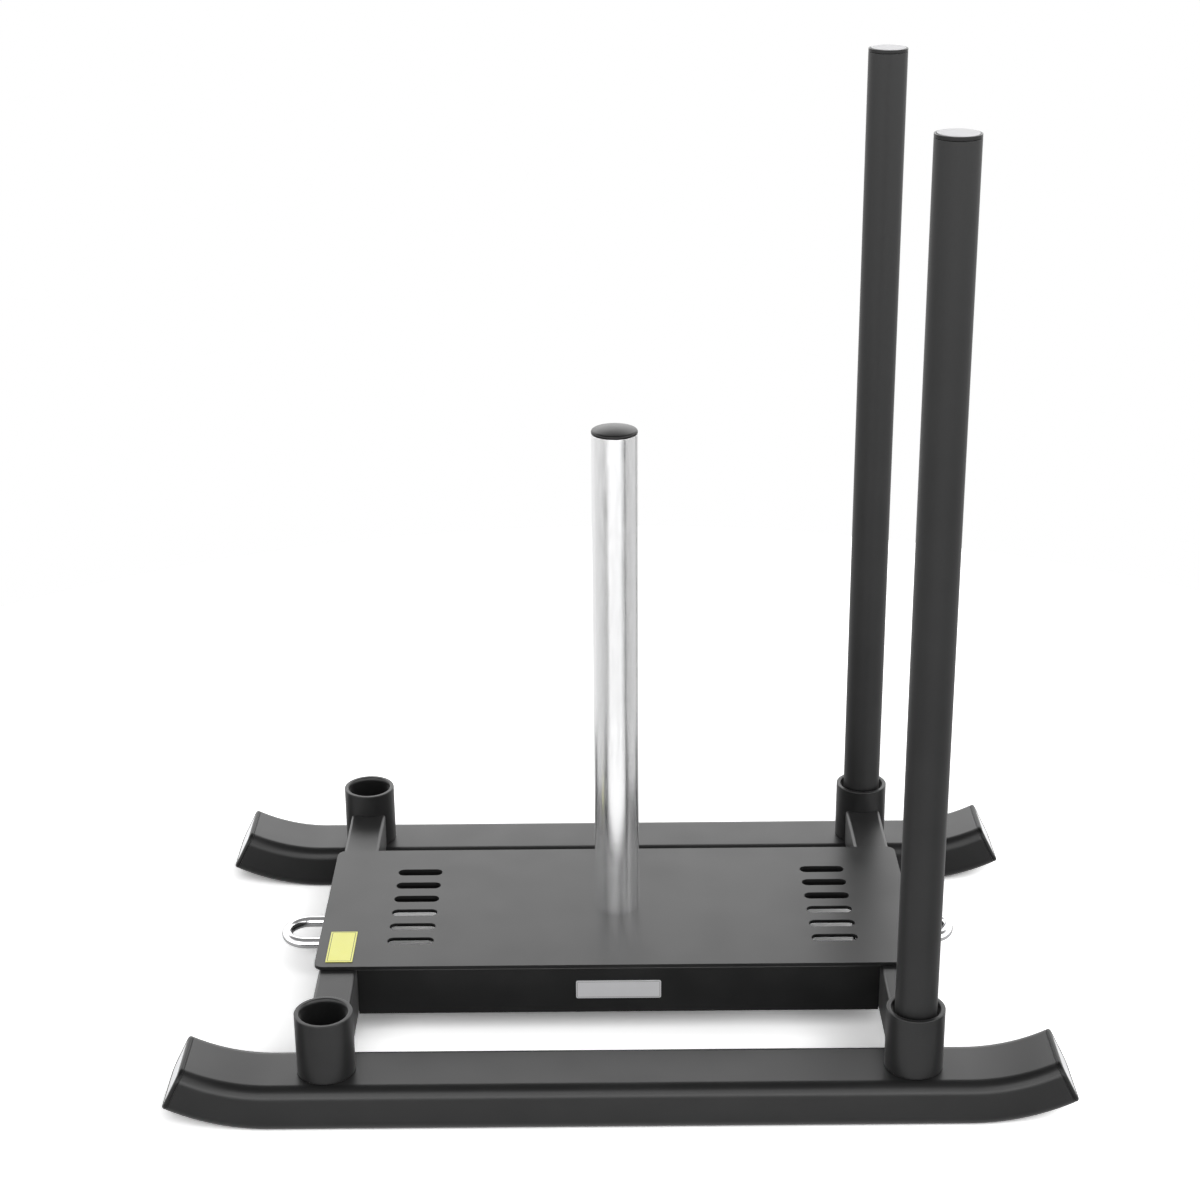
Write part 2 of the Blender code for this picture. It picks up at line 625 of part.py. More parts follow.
main()
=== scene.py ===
"""The weight sled as it looks when finished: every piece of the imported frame, its finishes and the studio.

Sizes are millimetres. +X is the sled's rear, +Y the pusher's right and +Z up.
"""

import logging
import math
from collections.abc import Iterable, Sequence
from dataclasses import dataclass
from enum import Enum

import bmesh
import bpy
from mathutils import Matrix, Vector


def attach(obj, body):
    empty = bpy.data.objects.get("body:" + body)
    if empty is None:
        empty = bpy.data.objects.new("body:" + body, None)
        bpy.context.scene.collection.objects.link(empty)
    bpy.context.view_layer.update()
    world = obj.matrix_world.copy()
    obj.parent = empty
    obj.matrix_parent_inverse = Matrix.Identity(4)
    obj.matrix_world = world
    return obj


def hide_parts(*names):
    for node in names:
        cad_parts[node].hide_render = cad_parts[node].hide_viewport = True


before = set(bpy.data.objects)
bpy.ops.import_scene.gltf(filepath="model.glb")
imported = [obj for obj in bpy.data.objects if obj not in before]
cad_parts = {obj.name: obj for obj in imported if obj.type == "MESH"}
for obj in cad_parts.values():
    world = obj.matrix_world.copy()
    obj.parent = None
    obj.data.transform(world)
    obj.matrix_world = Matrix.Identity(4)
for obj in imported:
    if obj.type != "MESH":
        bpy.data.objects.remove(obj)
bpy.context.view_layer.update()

log = logging.getLogger("weight_sled")

MM = 0.001

# Sizes that the pieces share: the gap between them, the plugs' hollow stems and a printed line's height
GAP = 0.3
STEM_WALL = 2.0
STEM_CLEARANCE = 0.4
PRINT_HEIGHT = 0.03

# Fineness of the meshes. Points closer than WELD become one, and edges over the crease angles stay sharp
WELD = 0.002
CORNER_STEPS = 8
RIM_STEPS = 6
HOLE_STEPS = 48
TURN_STEPS = 96
CREASE_DEG = 35.0
FLAT_CREASE_DEG = 18.0

WHITE = (1.0, 1.0, 1.0, 1.0)

# Most of a noise's values lie between these two
NOISE_SPAN = (0.3, 0.7)

Shape = bmesh.types.BMesh
Face = bmesh.types.BMFace
Edge = bmesh.types.BMEdge
NodeSocket = bpy.types.NodeSocket
Colour = tuple[float, float, float]
Point = tuple[float, float, float]
Span = tuple[float, float]
Value = NodeSocket | float | Sequence[float]


class Way(Enum):
    """A choice between two opposite ways, each with its sign."""

    @property
    def word(self) -> str:
        """The choice's word in a node's name."""
        return self.name.lower()


class Side(Way):
    """The sled's two sides, each with the sign of its Y."""

    LEFT = -1
    RIGHT = 1


class End(Way):
    """The sled's two ends, each with the sign of its X."""

    FRONT = -1
    REAR = 1


class Body(Enum):
    """The bodies that pieces ride on."""

    SLED = "sled"
    LEFT_POLE = "left_pole"
    RIGHT_POLE = "right_pole"


class Slot(Enum):
    """The record's material slots."""

    POWDER_COAT = "black_powder_coat"
    CHROME = "chrome"
    PLASTIC = "black_plastic"
    INLAY = "bright_inlay"
    DISC = "pale_disc"
    ZINC = "zinc_steel"
    YELLOW = "yellow_film"
    SILVER = "silver_film"


# Finishes


@dataclass(frozen=True)
class Noise:
    """Even noise: how large its blotches are, its octaves of finer noise, and its scale along Z."""

    size: float
    detail: float = 2.0
    along: float = 1.0


class Wiring:
    """A node tree while it is wired, with short calls for its nodes."""

    def __init__(self, tree: bpy.types.NodeTree) -> None:
        """Takes up the tree."""
        self.tree = tree
        self.noises = {}

    def feed(self, slot: NodeSocket, value: Value) -> None:
        """Gives an input its value.

        Args:
            slot: The input.
            value: The socket to link to it, or a plain value.
        """
        if isinstance(value, NodeSocket):
            self.tree.links.new(value, slot)
        else:
            slot.default_value = value

    def node(self, kind: str, *values: Value, **options: Value | str) -> bpy.types.Node:
        """A new node.

        Args:
            kind: The node's type, without ShaderNode in front.
            values: Values of its first inputs, in order.
            options: Values of inputs by name, and the node's settings.

        Returns:
            The node.
        """
        made = self.tree.nodes.new(f"ShaderNode{kind}")
        for name, value in options.items():
            if name in made.inputs:
                self.feed(made.inputs[name], value)
            else:
                setattr(made, name, value)
        for slot, value in zip(made.inputs, values):
            self.feed(slot, value)
        return made

    def calc(self, operation: str, *values: Value) -> NodeSocket:
        """The result of a math node's operation on the values."""
        return self.node("Math", *values, operation=operation).outputs[0]

    def share(self, source: NodeSocket, start: float, end: float) -> NodeSocket:
        """A number's way from a start to an end, held between 0 and 1."""
        return self.node("MapRange", source, start, end).outputs[0]

    def mixed(self, first: Value, second: Value, share: NodeSocket) -> NodeSocket:
        """The first number where the share is 0, and the second where it is 1."""
        return self.calc("ADD", first, self.calc("MULTIPLY", share, self.calc("SUBTRACT", second, first)))

    def ramp(self, source: NodeSocket, stops: Sequence[tuple[float, Colour]]) -> NodeSocket:
        """A colour read from a ramp.

        Args:
            source: Socket of the place on the ramp.
            stops: Place and colour of each stop.

        Returns:
            The socket of the colour.
        """
        node = self.node("ValToRGB", source)
        elements = node.color_ramp.elements
        while len(elements) < len(stops):
            elements.new(1.0)
        for element, (position, colour) in zip(elements, stops):
            element.position = position
            element.color = (*colour, 1.0)
        return node.outputs["Color"]

    def noise(self, noise: Noise) -> NodeSocket:
        """Noise on the object's coordinates, made once for each size.

        Args:
            noise: The noise.

        Returns:
            Its socket, from 0 to 1.
        """
        if noise not in self.noises:
            place = self.node("TexCoord").outputs["Object"]
            if noise.along != 1.0:
                place = self.node("Mapping", Vector=place, Scale=(1.0, 1.0, noise.along)).outputs[0]
            made = self.node("TexNoise", Vector=place, Scale=1.0 / (noise.size * MM), Detail=noise.detail)
            self.noises[noise] = made.outputs["Fac"]
        return self.noises[noise]


@dataclass(frozen=True)
class Finish:
    """What every finish has: shades and a gloss that change with noise, and a relief of finer noise."""

    name: str
    shades: tuple[Colour, Colour]
    roughness: Span
    patches: Noise
    relief: tuple[tuple[Noise, float], ...]
    mottle: Noise | None = None
    metallic: float = 0.0
    refraction: float = 1.5
    sheen: float = 0.0
    sheen_roughness: float = 0.5

    def material(self) -> bpy.types.Material:
        """Wires the finish.

        Returns:
            Its material. The patches drive the gloss, and the shades too where there is no mottle.
        """
        material = bpy.data.materials.new(self.name)
        material.use_nodes = True
        wiring = Wiring(material.node_tree)
        patches = wiring.noise(self.patches)
        values = {
            "Base Color": (*self.shades[0], 1.0),
            "Metallic": self.metallic,
            "IOR": self.refraction,
            "Sheen Weight": self.sheen,
            "Sheen Roughness": self.sheen_roughness,
            "Roughness": wiring.node("MapRange", patches, *NOISE_SPAN, *self.roughness).outputs[0],
        }
        if self.shades[0] != self.shades[1]:
            mottle = wiring.noise(self.mottle or self.patches)
            values["Base Color"] = wiring.ramp(mottle, list(zip(NOISE_SPAN, self.shades)))
        normal = {}
        for noise, height in self.relief:
            bump = wiring.node("Bump", Height=wiring.noise(noise), Distance=height * MM, **normal)
            normal = {"Normal": bump.outputs[0]}
        shader = wiring.tree.nodes["Principled BSDF"]
        for name, value in (values | normal).items():
            wiring.feed(shader.inputs[name], value)
        return material


@dataclass(frozen=True)
class PowderCoat(Finish):
    """Satin black powder coat: fine orange peel, and a gloss that changes a little from place to place."""

    name: str = "black powder coat"
    shades: tuple[Colour, Colour] = ((0.004, 0.004, 0.0041), (0.006, 0.006, 0.0061))
    roughness: Span = (0.33, 0.38)
    patches: Noise = Noise(60.0, detail=3.0)
    relief: tuple[tuple[Noise, float], ...] = ((Noise(1.6, detail=1.0), 0.004),)
    refraction: float = 1.4
    sheen: float = 0.06
    sheen_roughness: float = 0.4


@dataclass(frozen=True)
class Chrome(Finish):
    """Polished chrome plate with faint polishing marks along it."""

    name: str = "polished chrome"
    shades: tuple[Colour, Colour] = ((0.95, 0.95, 0.955), (0.95, 0.95, 0.955))
    roughness: Span = (0.19, 0.25)
    patches: Noise = Noise(4.0, detail=4.0, along=0.12)
    relief: tuple[tuple[Noise, float], ...] = ((Noise(1.8), 0.007),)
    metallic: float = 1.0


@dataclass(frozen=True)
class Zinc(Finish):
    """Zinc plated steel: mottled grey, half dull."""

    name: str = "zinc plated steel"
    shades: tuple[Colour, Colour] = ((0.42, 0.43, 0.45), (0.6, 0.6, 0.61))
    roughness: Span = (0.28, 0.42)
    patches: Noise = Noise(5.0, detail=3.0)
    relief: tuple[tuple[Noise, float], ...] = ((Noise(0.6), 0.01),)
    metallic: float = 1.0


@dataclass(frozen=True)
class Moulded(Finish):
    """Moulded plastic with a fine spark-eroded grain."""

    patches: Noise = Noise(20.0)
    relief: tuple[tuple[Noise, float], ...] = ((Noise(0.5), 0.004),)


@dataclass(frozen=True)
class Film(Finish):
    """Printed film or foil on a flat backing, with a slight waviness from being pressed on by hand."""

    patches: Noise = Noise(14.0)
    relief: tuple[tuple[Noise, float], ...] = ((Noise(14.0, detail=1.0), 0.03), (Noise(0.4), 0.002))
    mottle: Noise = Noise(0.4)


# Shaping steps that the pieces share


def scaled(values: Sequence[float]) -> Vector:
    """A point or step in millimetres as one in metres."""
    return Vector(values) * MM


def shift(x: float, y: float, z: float) -> Matrix:
    """A move in millimetres as a matrix in metres."""
    return Matrix.Translation(scaled((x, y, z)))


def turn(axis: str, degrees: float) -> Matrix:
    """A turn about X, Y or Z as a matrix."""
    return Matrix.Rotation(math.radians(degrees), 4, axis)


def move(work: Shape, matrix: Matrix) -> Shape:
    """Moves a whole shape by a matrix in metres, and returns it."""
    bmesh.ops.transform(work, matrix=matrix, verts=work.verts)
    return work


def rounded(work: Shape, items: Iterable, width: float, steps: int, affect: str = "EDGES") -> Shape:
    """Bevels edges or corners to a round.

    Args:
        work: The shape.
        items: Its edges or corners.
        width: Width of the round.
        steps: Faces across it.
        affect: EDGES or VERTICES.

    Returns:
        The shape.
    """
    bmesh.ops.bevel(
        work,
        geom=list(items),
        offset=width * MM,
        offset_type="OFFSET",
        affect=affect,
        segments=steps,
        profile=0.5,
        material=-1,
        clamp_overlap=affect == "EDGES",
    )
    return work


def add_panel(work: Shape, width: float, height: float, corner: float, centre: Span = (0.0, 0.0)) -> Shape:
    """Adds a flat face with rounded corners in the XY plane.

    Args:
        work: The shape that gets the face.
        width: Size along X.
        height: Size along Y.
        corner: Radius of the corners.
        centre: Middle of the face.

    Returns:
        The shape.
    """
    made = bmesh.ops.create_grid(work, x_segments=1, y_segments=1, size=0.5)["verts"]
    bmesh.ops.scale(work, verts=made, vec=(width * MM, height * MM, 1.0))
    bmesh.ops.translate(work, verts=made, vec=scaled((*centre, 0.0)))
    radius = min(corner, width / 2 - WELD, height / 2 - WELD)
    return rounded(work, made, radius, CORNER_STEPS, "VERTICES")


def panel(width: float, height: float, corner: float) -> Shape:
    """A new flat face with rounded corners, in the XY plane about the origin."""
    return add_panel(bmesh.new(), width, height, corner)


def framed(work: Shape, wall: float) -> Shape:
    """Cuts the middle out of a single flat face.

    Args:
        work: The face's shape.
        wall: Width of the rim that stays.

    Returns:
        The shape.
    """
    middle = list(work.faces)
    bmesh.ops.inset_region(work, faces=middle, thickness=wall * MM, use_boundary=True, use_even_offset=True)
    bmesh.ops.delete(work, geom=middle, context="FACES")
    return work


def with_edges(faces: Iterable[Face]) -> list[Face | Edge]:
    """Faces together with their edges, so that an extrusion leaves no face behind inside the shape."""
    region = list(faces)
    return region + list({edge for face in region for edge in face.edges})


def pull(work: Shape, faces: Iterable[Face], step: Sequence[float]) -> list[Face]:
    """Extrudes faces by a step.

    Args:
        work: The shape.
        faces: Faces to extrude.
        step: How far.

    Returns:
        The faces at the far end.
    """
    made = bmesh.ops.extrude_face_region(work, geom=with_edges(faces))["geom"]
    verts = [item for item in made if isinstance(item, bmesh.types.BMVert)]
    bmesh.ops.translate(work, verts=verts, vec=scaled(step))
    return [item for item in made if isinstance(item, Face)]


def raised(work: Shape, height: float) -> Shape:
    """Pulls all faces of a flat shape up to a height, and returns the shape."""
    pull(work, work.faces, (0.0, 0.0, height))
    return work


def sink(work: Shape, faces: list[Face], margin: float, depth: float) -> list[Face]:
    """Draws faces in by a margin and pulls what is left along Z.

    Args:
        work: The shape.
        faces: Faces to draw in.
        margin: Width of the rim that stays.
        depth: How far up the middle goes, or down where it is negative.

    Returns:
        The faces at the far end.
    """
    bmesh.ops.inset_region(work, faces=faces, thickness=margin * MM, use_even_offset=True)
    return pull(work, faces, (0.0, 0.0, depth))


def cleaned(work: Shape) -> Shape:
    """Welds doubled points and turns the faces outwards.

    Args:
        work: The shape.

    Returns:
        The shape.
    """
    bmesh.ops.remove_doubles(work, verts=work.verts, dist=WELD * MM)
    bmesh.ops.recalc_face_normals(work, faces=work.faces)
    return work


def soften(work: Shape, width: float, steps: int = 3, above_deg: float = 50.0) -> Shape:
    """Rounds every edge that is sharper than an angle.

    Args:
        work: The shape.
        width: Width of the rounding.
        steps: Faces across it.
        above_deg: Least angle between the faces at an edge.

    Returns:
        The shape.
    """
    cleaned(work)
    sharp = [edge for edge in work.edges if edge.calc_face_angle(0.0) > math.radians(above_deg)]
    return rounded(work, sharp, width, steps)


def soften_rim(work: Shape, height: float, width: float) -> Shape:
    """Rounds the edges that lie level at a height, and returns the shape."""
    level = [edge for edge in work.edges if all(abs(vert.co.z / MM - height) < WELD for vert in edge.verts)]
    return rounded(work, level, width, RIM_STEPS)


def turned(profile: Sequence[Span], steps: int = TURN_STEPS) -> Shape:
    """Spins a profile about the Z axis.

    Args:
        profile: Radius and height of each point. It closes to a ring where the first is off the axis.
        steps: Faces round the axis.

    Returns:
        The new shape.
    """
    work = bmesh.new()
    points = [work.verts.new(scaled((radius, 0.0, height))) for radius, height in profile]
    pairs = list(zip(points, points[1:]))
    if profile[0][0] > 0.0:
        pairs.append((points[-1], points[0]))
    edges = [work.edges.new(pair) for pair in pairs]
    bmesh.ops.spin(
        work,
        geom=[*points, *edges],
        cent=(0.0, 0.0, 0.0),
        axis=(0.0, 0.0, 1.0),
        angle=math.tau,
        steps=steps,
        use_merge=True,
    )
    return cleaned(work)


def barrel(outer: float, low: float, high: float, inner: float = 0.0, steps: int = TURN_STEPS) -> Shape:
    """A plain cylinder or tube about the Z axis, by its radii and the heights of its ends."""
    return turned(((inner, high), (outer, high), (outer, low), (inner, low)), steps)


def stem(radius: float, tip: float) -> list[Span]:
    """Profile of a plug's hollow stem, from its root on the XY plane to the tip and back to the axis."""
    inside = radius - STEM_WALL
    return [(radius, 0.0), (radius, tip), (inside, tip), (inside, 0.0), (0.0, 0.0)]


def as_object(work: Shape, name: str) -> bpy.types.Object:
    """A shape as a linked object, after which the shape is freed.

    Args:
        work: The shape.
        name: The object's name.

    Returns:
        The new object.
    """
    data = bpy.data.meshes.new(name)
    cleaned(work).to_mesh(data)
    work.free()
    made = bpy.data.objects.new(name, data)
    bpy.context.scene.collection.objects.link(made)
    return made


def combined(base: Shape, others: Sequence[Shape], operation: str) -> Shape:
    """Cuts, joins or intersects a shape with others, one after another.

    Args:
        base: The shape to work on.
        others: The shapes it is combined with.
        operation: DIFFERENCE, UNION or INTERSECT.

    Returns:
        The new shape. The given ones are freed.
    """
    blank = as_object(base, "blank")
    tools = [as_object(other, "cutter") for other in others]
    for tool in tools:
        step = blank.modifiers.new(tool.name, "BOOLEAN")
        step.operation = operation
        step.solver = "EXACT"
        step.object = tool
    bpy.context.view_layer.update()
    seen = blank.evaluated_get(bpy.context.evaluated_depsgraph_get())
    result = bmesh.new()
    result.from_mesh(seen.to_mesh())
    seen.to_mesh_clear()
    for item in (blank, *tools):
        data = item.data
        bpy.data.objects.remove(item)
        bpy.data.meshes.remove(data)
    return result


def printed(work: Shape, outline: Shape, line: float, height: float) -> Shape:
    """Prints a frame line on a label, half sunk into its face.

    Args:
        work: The label's shape.
        outline: The panel that the line runs round. It is freed.
        line: Width of the line.
        height: Height of the label's face.

    Returns:
        The label's shape, with the line's faces on the ink.
    """
    ink = raised(framed(outline, line), PRINT_HEIGHT)
    for face in ink.faces:
        face.material_index = 1
    data = bpy.data.meshes.new("frame line")
    move(ink, shift(0.0, 0.0, height - PRINT_HEIGHT / 2)).to_mesh(data)
    ink.free()
    work.from_mesh(data)
    bpy.data.meshes.remove(data)
    return work


class Workshop:
    """Where shapes become pieces, each with its shading, finish, body and node."""

    def __init__(self) -> None:
        """Makes every finish once."""
        usual = {
            Slot.POWDER_COAT: PowderCoat(),
            Slot.CHROME: Chrome(),
            Slot.PLASTIC: Moulded(
                "black plastic", ((0.004, 0.004, 0.004), (0.006, 0.006, 0.006)), (0.3, 0.36), refraction=1.3
            ),
            Slot.INLAY: Film(
                "bright silver film", ((0.74, 0.74, 0.75), (0.8, 0.8, 0.81)), (0.36, 0.44), metallic=1.0
            ),
            Slot.DISC: Moulded(
                "pale grey plastic", ((0.64, 0.64, 0.65), (0.68, 0.68, 0.69)), (0.5, 0.6), refraction=1.15
            ),
            Slot.ZINC: Zinc(),
            Slot.YELLOW: Film("yellow film", ((0.72, 0.71, 0.19), (0.76, 0.75, 0.22)), (0.35, 0.45)),
            Slot.SILVER: Film(
                "silver film", ((0.46, 0.46, 0.47), (0.52, 0.52, 0.53)), (0.35, 0.45), metallic=0.2
            ),
        }
        rod = Chrome("plated rod", ((0.7, 0.7, 0.71),) * 2, (0.1, 0.15), relief=((Noise(3.0), 0.001),))
        self.usual = {slot: finish.material() for slot, finish in usual.items()}
        self.ink = Film("dark print", ((0.05, 0.05, 0.045), (0.07, 0.07, 0.06)), (0.4, 0.5)).material()
        self.rod = rod.material()
        self.pole = PowderCoat("dull powder coat", roughness=(0.43, 0.48), refraction=1.38).material()

    def finish(
        self,
        work: Shape,
        name: str,
        node: str,
        slot: Slot,
        body: Body = Body.SLED,
        crease_deg: float = CREASE_DEG,
        coat: bpy.types.Material | None = None,
    ) -> None:
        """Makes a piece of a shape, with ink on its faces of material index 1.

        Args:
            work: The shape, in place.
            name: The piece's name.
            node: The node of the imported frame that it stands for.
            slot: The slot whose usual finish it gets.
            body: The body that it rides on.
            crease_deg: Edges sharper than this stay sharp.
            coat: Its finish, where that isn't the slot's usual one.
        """
        piece = as_object(work, name)
        piece.data.shade_smooth()
        piece.data.set_sharp_from_angle(angle=math.radians(crease_deg))
        even = piece.modifiers.new("Even shading", "WEIGHTED_NORMAL")
        even.mode = "FACE_AREA"
        even.keep_sharp = True
        piece.data.materials.append(coat or self.usual[slot])
        if any(face.material_index for face in piece.data.polygons):
            piece.data.materials.append(self.ink)
        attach(piece, body.value)
        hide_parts(node)
        log.info("%s stands for %s, %d faces", name, node, len(piece.data.polygons))


# Sub-assemblies


@dataclass(frozen=True)
class Hardware:
    """Zinc plated screws, nuts and washers of one thread size, and the holes for them."""

    major: float = 12.0
    hole: float = 13.0
    pitch: float = 1.75
    depth: float = 0.8
    across_flats: float = 19.0
    chamfer: float = 1.0
    face_margin: float = 0.3
    corner_reach: float = 0.2
    washer_thickness: float = 2.5

    def thread(self, start: float, length: float) -> list[Span]:
        """An outside thread, as a row of ridges.

        Args:
            start: Height of its first root.
            length: How far it runs.

        Returns:
            Radius and height of each point, from the first root to the last.
        """
        crest = self.major / 2
        count = round(length / self.pitch)
        points = []
        for index in range(count):
            low = start + index * self.pitch
            points += [(crest - self.depth, low), (crest, low + self.pitch / 2)]
        return [*points, (crest - self.depth, start + count * self.pitch)]

    def head(self, height: float) -> Shape:
        """A hexagonal head or nut with turned corners, about the Z axis.

        Args:
            height: Height of its top over the XY plane.

        Returns:
            The new shape.
        """
        corner = self.across_flats / 2 / math.cos(math.pi / 6)
        prism = bmesh.new()
        bmesh.ops.create_cone(
            prism, cap_ends=True, segments=6, radius1=corner * MM, radius2=corner * MM, depth=height * MM
        )
        move(prism, shift(0.0, 0.0, height / 2))
        face = self.across_flats / 2 - self.face_margin
        wide = corner + self.corner_reach
        low = self.chamfer
        rim = ((0.0, 0.0), (face, 0.0), (wide, low), (wide, height - low), (face, height), (0.0, height))
        return combined(prism, [turned(rim)], "INTERSECT")

    def washer(self, diameter: float, steps: int) -> Shape:
        """A flat washer of a diameter and fineness, with its top on the XY plane."""
        return soften(barrel(diameter / 2, -self.washer_thickness, 0.0, self.hole / 2, steps), GAP)


M12 = Hardware()


@dataclass(frozen=True)
class Runner:
    """One skid: a box tube with both ends bent up, and in each end a plastic plug with a bright inlay."""

    side: Side
    width: float = 80.0
    height: float = 50.0
    corner: float = 12.5
    wall: float = 2.0
    straight_half: float = 351.5
    bend_radius: float = 236.5
    bend_deg: float = 26.3
    bend_steps: int = 28
    centre_y: float = 254.5
    rim: float = 0.4
    flange: float = 4.2
    flange_round: float = 2.6
    stem_reach: float = 11.9
    stem_inset: float = 3.0
    inlay_margin: float = 5.5
    inlay_depth: float = 1.0
    inlay_sunk: float = 0.3
    inlay_round: float = 0.35
    line_inset: float = 2.5
    line: float = 1.0

    @property
    def y(self) -> float:
        """Where the runner's centre line lies."""
        return self.side.value * self.centre_y

    def outline(self, inset: float = 0.0) -> Shape:
        """The tube's outline as a flat face, drawn in all round by an inset."""
        return panel(self.width - 2 * inset, self.height - 2 * inset, self.corner - inset)

    def tube(self) -> Shape:
        """The bent tube.

        Returns:
            Its shape, about the middle of the runner's sole.
        """
        upright = turn("Z", 90.0) @ turn("X", 90.0)
        work = move(framed(self.outline(), self.wall), shift(0.0, 0.0, self.height / 2) @ upright)
        foot = list(work.faces)
        end = pull(work, foot, (self.straight_half, 0.0, 0.0))
        bmesh.ops.delete(work, geom=foot, context="FACES")
        bmesh.ops.spin(
            work,
            geom=with_edges(end),
            cent=scaled((self.straight_half, 0.0, self.bend_radius)),
            axis=(0.0, -1.0, 0.0),
            angle=math.radians(self.bend_deg),
            steps=self.bend_steps,
        )
        bmesh.ops.mirror(work, geom=[*work.verts, *work.edges, *work.faces], axis="X", merge_dist=WELD * MM)
        return soften(work, self.rim, steps=2, above_deg=60.0)

    def end_place(self, end: End) -> Matrix:
        """Where a plug goes: its local Z points out of the tube along its axis, from the tube's end.

        Args:
            end: The runner's end.

        Returns:
            The matrix that sets a plug there.
        """
        angle = math.radians(self.bend_deg)
        axis_radius = self.bend_radius - self.height / 2
        x = self.straight_half + axis_radius * math.sin(angle)
        z = self.bend_radius - axis_radius * math.cos(angle)
        facing = turn("Z", 90.0 * end.value) @ turn("X", 90.0 - self.bend_deg)
        return shift(end.value * x, self.y, z) @ facing @ shift(0.0, 0.0, GAP)

    def plug(self) -> Shape:
        """A plug with its flange on the XY plane, a hollow stem below it and the inlay's recess in its top.

        Returns:
            Its shape.
        """
        work = self.outline()
        foot = list(work.faces)
        top = pull(work, foot, (0.0, 0.0, self.flange))
        rim = [edge for face in top for edge in face.edges]
        lower = [edge for face in foot for edge in face.edges]
        rounded(work, rim, self.flange_round, steps=5)
        rounded(work, lower, self.rim, steps=2)
        broad = sorted(work.faces, key=lambda face: face.calc_area())[-2:]
        bottom, top_face = sorted(broad, key=lambda face: face.calc_center_median().z)
        sink(work, [top_face], self.inlay_margin - GAP - self.flange_round, -self.inlay_depth)
        tip = sink(work, [bottom], self.stem_inset - self.rim, -self.stem_reach)
        sink(work, tip, STEM_WALL, self.stem_reach)
        return work

    def inlay(self) -> Shape:
        """The bright inlay, in its place over the plug's recess.

        Returns:
            Its shape.
        """
        thickness = self.inlay_depth - GAP - self.inlay_sunk
        face = self.flange - self.inlay_sunk
        work = move(raised(self.outline(self.inlay_margin), thickness), shift(0.0, 0.0, face - thickness))
        soften(work, self.inlay_round)
        return printed(work, self.outline(self.inlay_margin + self.line_inset), self.line, face)

    def build(self, workshop: Workshop) -> None:
        """Makes the runner's five pieces.

        Args:
            workshop: Where they are finished.
        """
        name = f"{self.side.word}_runner"
        workshop.finish(move(self.tube(), shift(0.0, self.y, 0.0)), f"{name}_tube", name, Slot.POWDER_COAT)
        for end in End:
            stem_name = f"{name}_{end.word}"
            place = self.end_place(end)
            plug = move(self.plug(), place)
            workshop.finish(plug, f"{stem_name}_end_plug", f"{stem_name}_plug", Slot.PLASTIC)
            inlay = move(self.inlay(), place)
            workshop.finish(inlay, f"{stem_name}_end_inlay", f"{stem_name}_plug_inlay", Slot.INLAY)


@dataclass(frozen=True)
class Socket:
    """A short thick tube on a runner that holds a push pole, with a lead-in at its mouth."""

    runner: Runner
    end: End
    diameter: float = 59.0
    bore: float = 46.0
    height: float = 66.7
    lead_width: float = 2.3
    lead_depth: float = 4.0
    rim_edge: float = 1.7
    edge: float = 0.8
    centre_x: float = 296.5

    @property
    def foot(self) -> Point:
        """The middle of its foot, on top of the runner."""
        return self.end.value * self.centre_x, self.runner.y, self.runner.height + GAP

    def shape(self) -> Shape:
        """The turned tube.

        Returns:
            Its shape, standing on the XY plane.
        """
        outer = self.diameter / 2
        bore = self.bore / 2
        top = self.height
        lead = (bore + self.lead_width, top)
        profile = (lead, (outer, top), (outer, 0.0), (bore, 0.0), (bore, top - self.lead_depth))
        return soften(soften_rim(turned(profile), top, self.rim_edge), self.edge, above_deg=40.0)

    def build(self, workshop: Workshop) -> None:
        """Makes the socket."""
        name = f"{self.end.word}_{self.runner.side.word}_socket"
        workshop.finish(move(self.shape(), shift(*self.foot)), f"{name}_tube", name, Slot.POWDER_COAT)


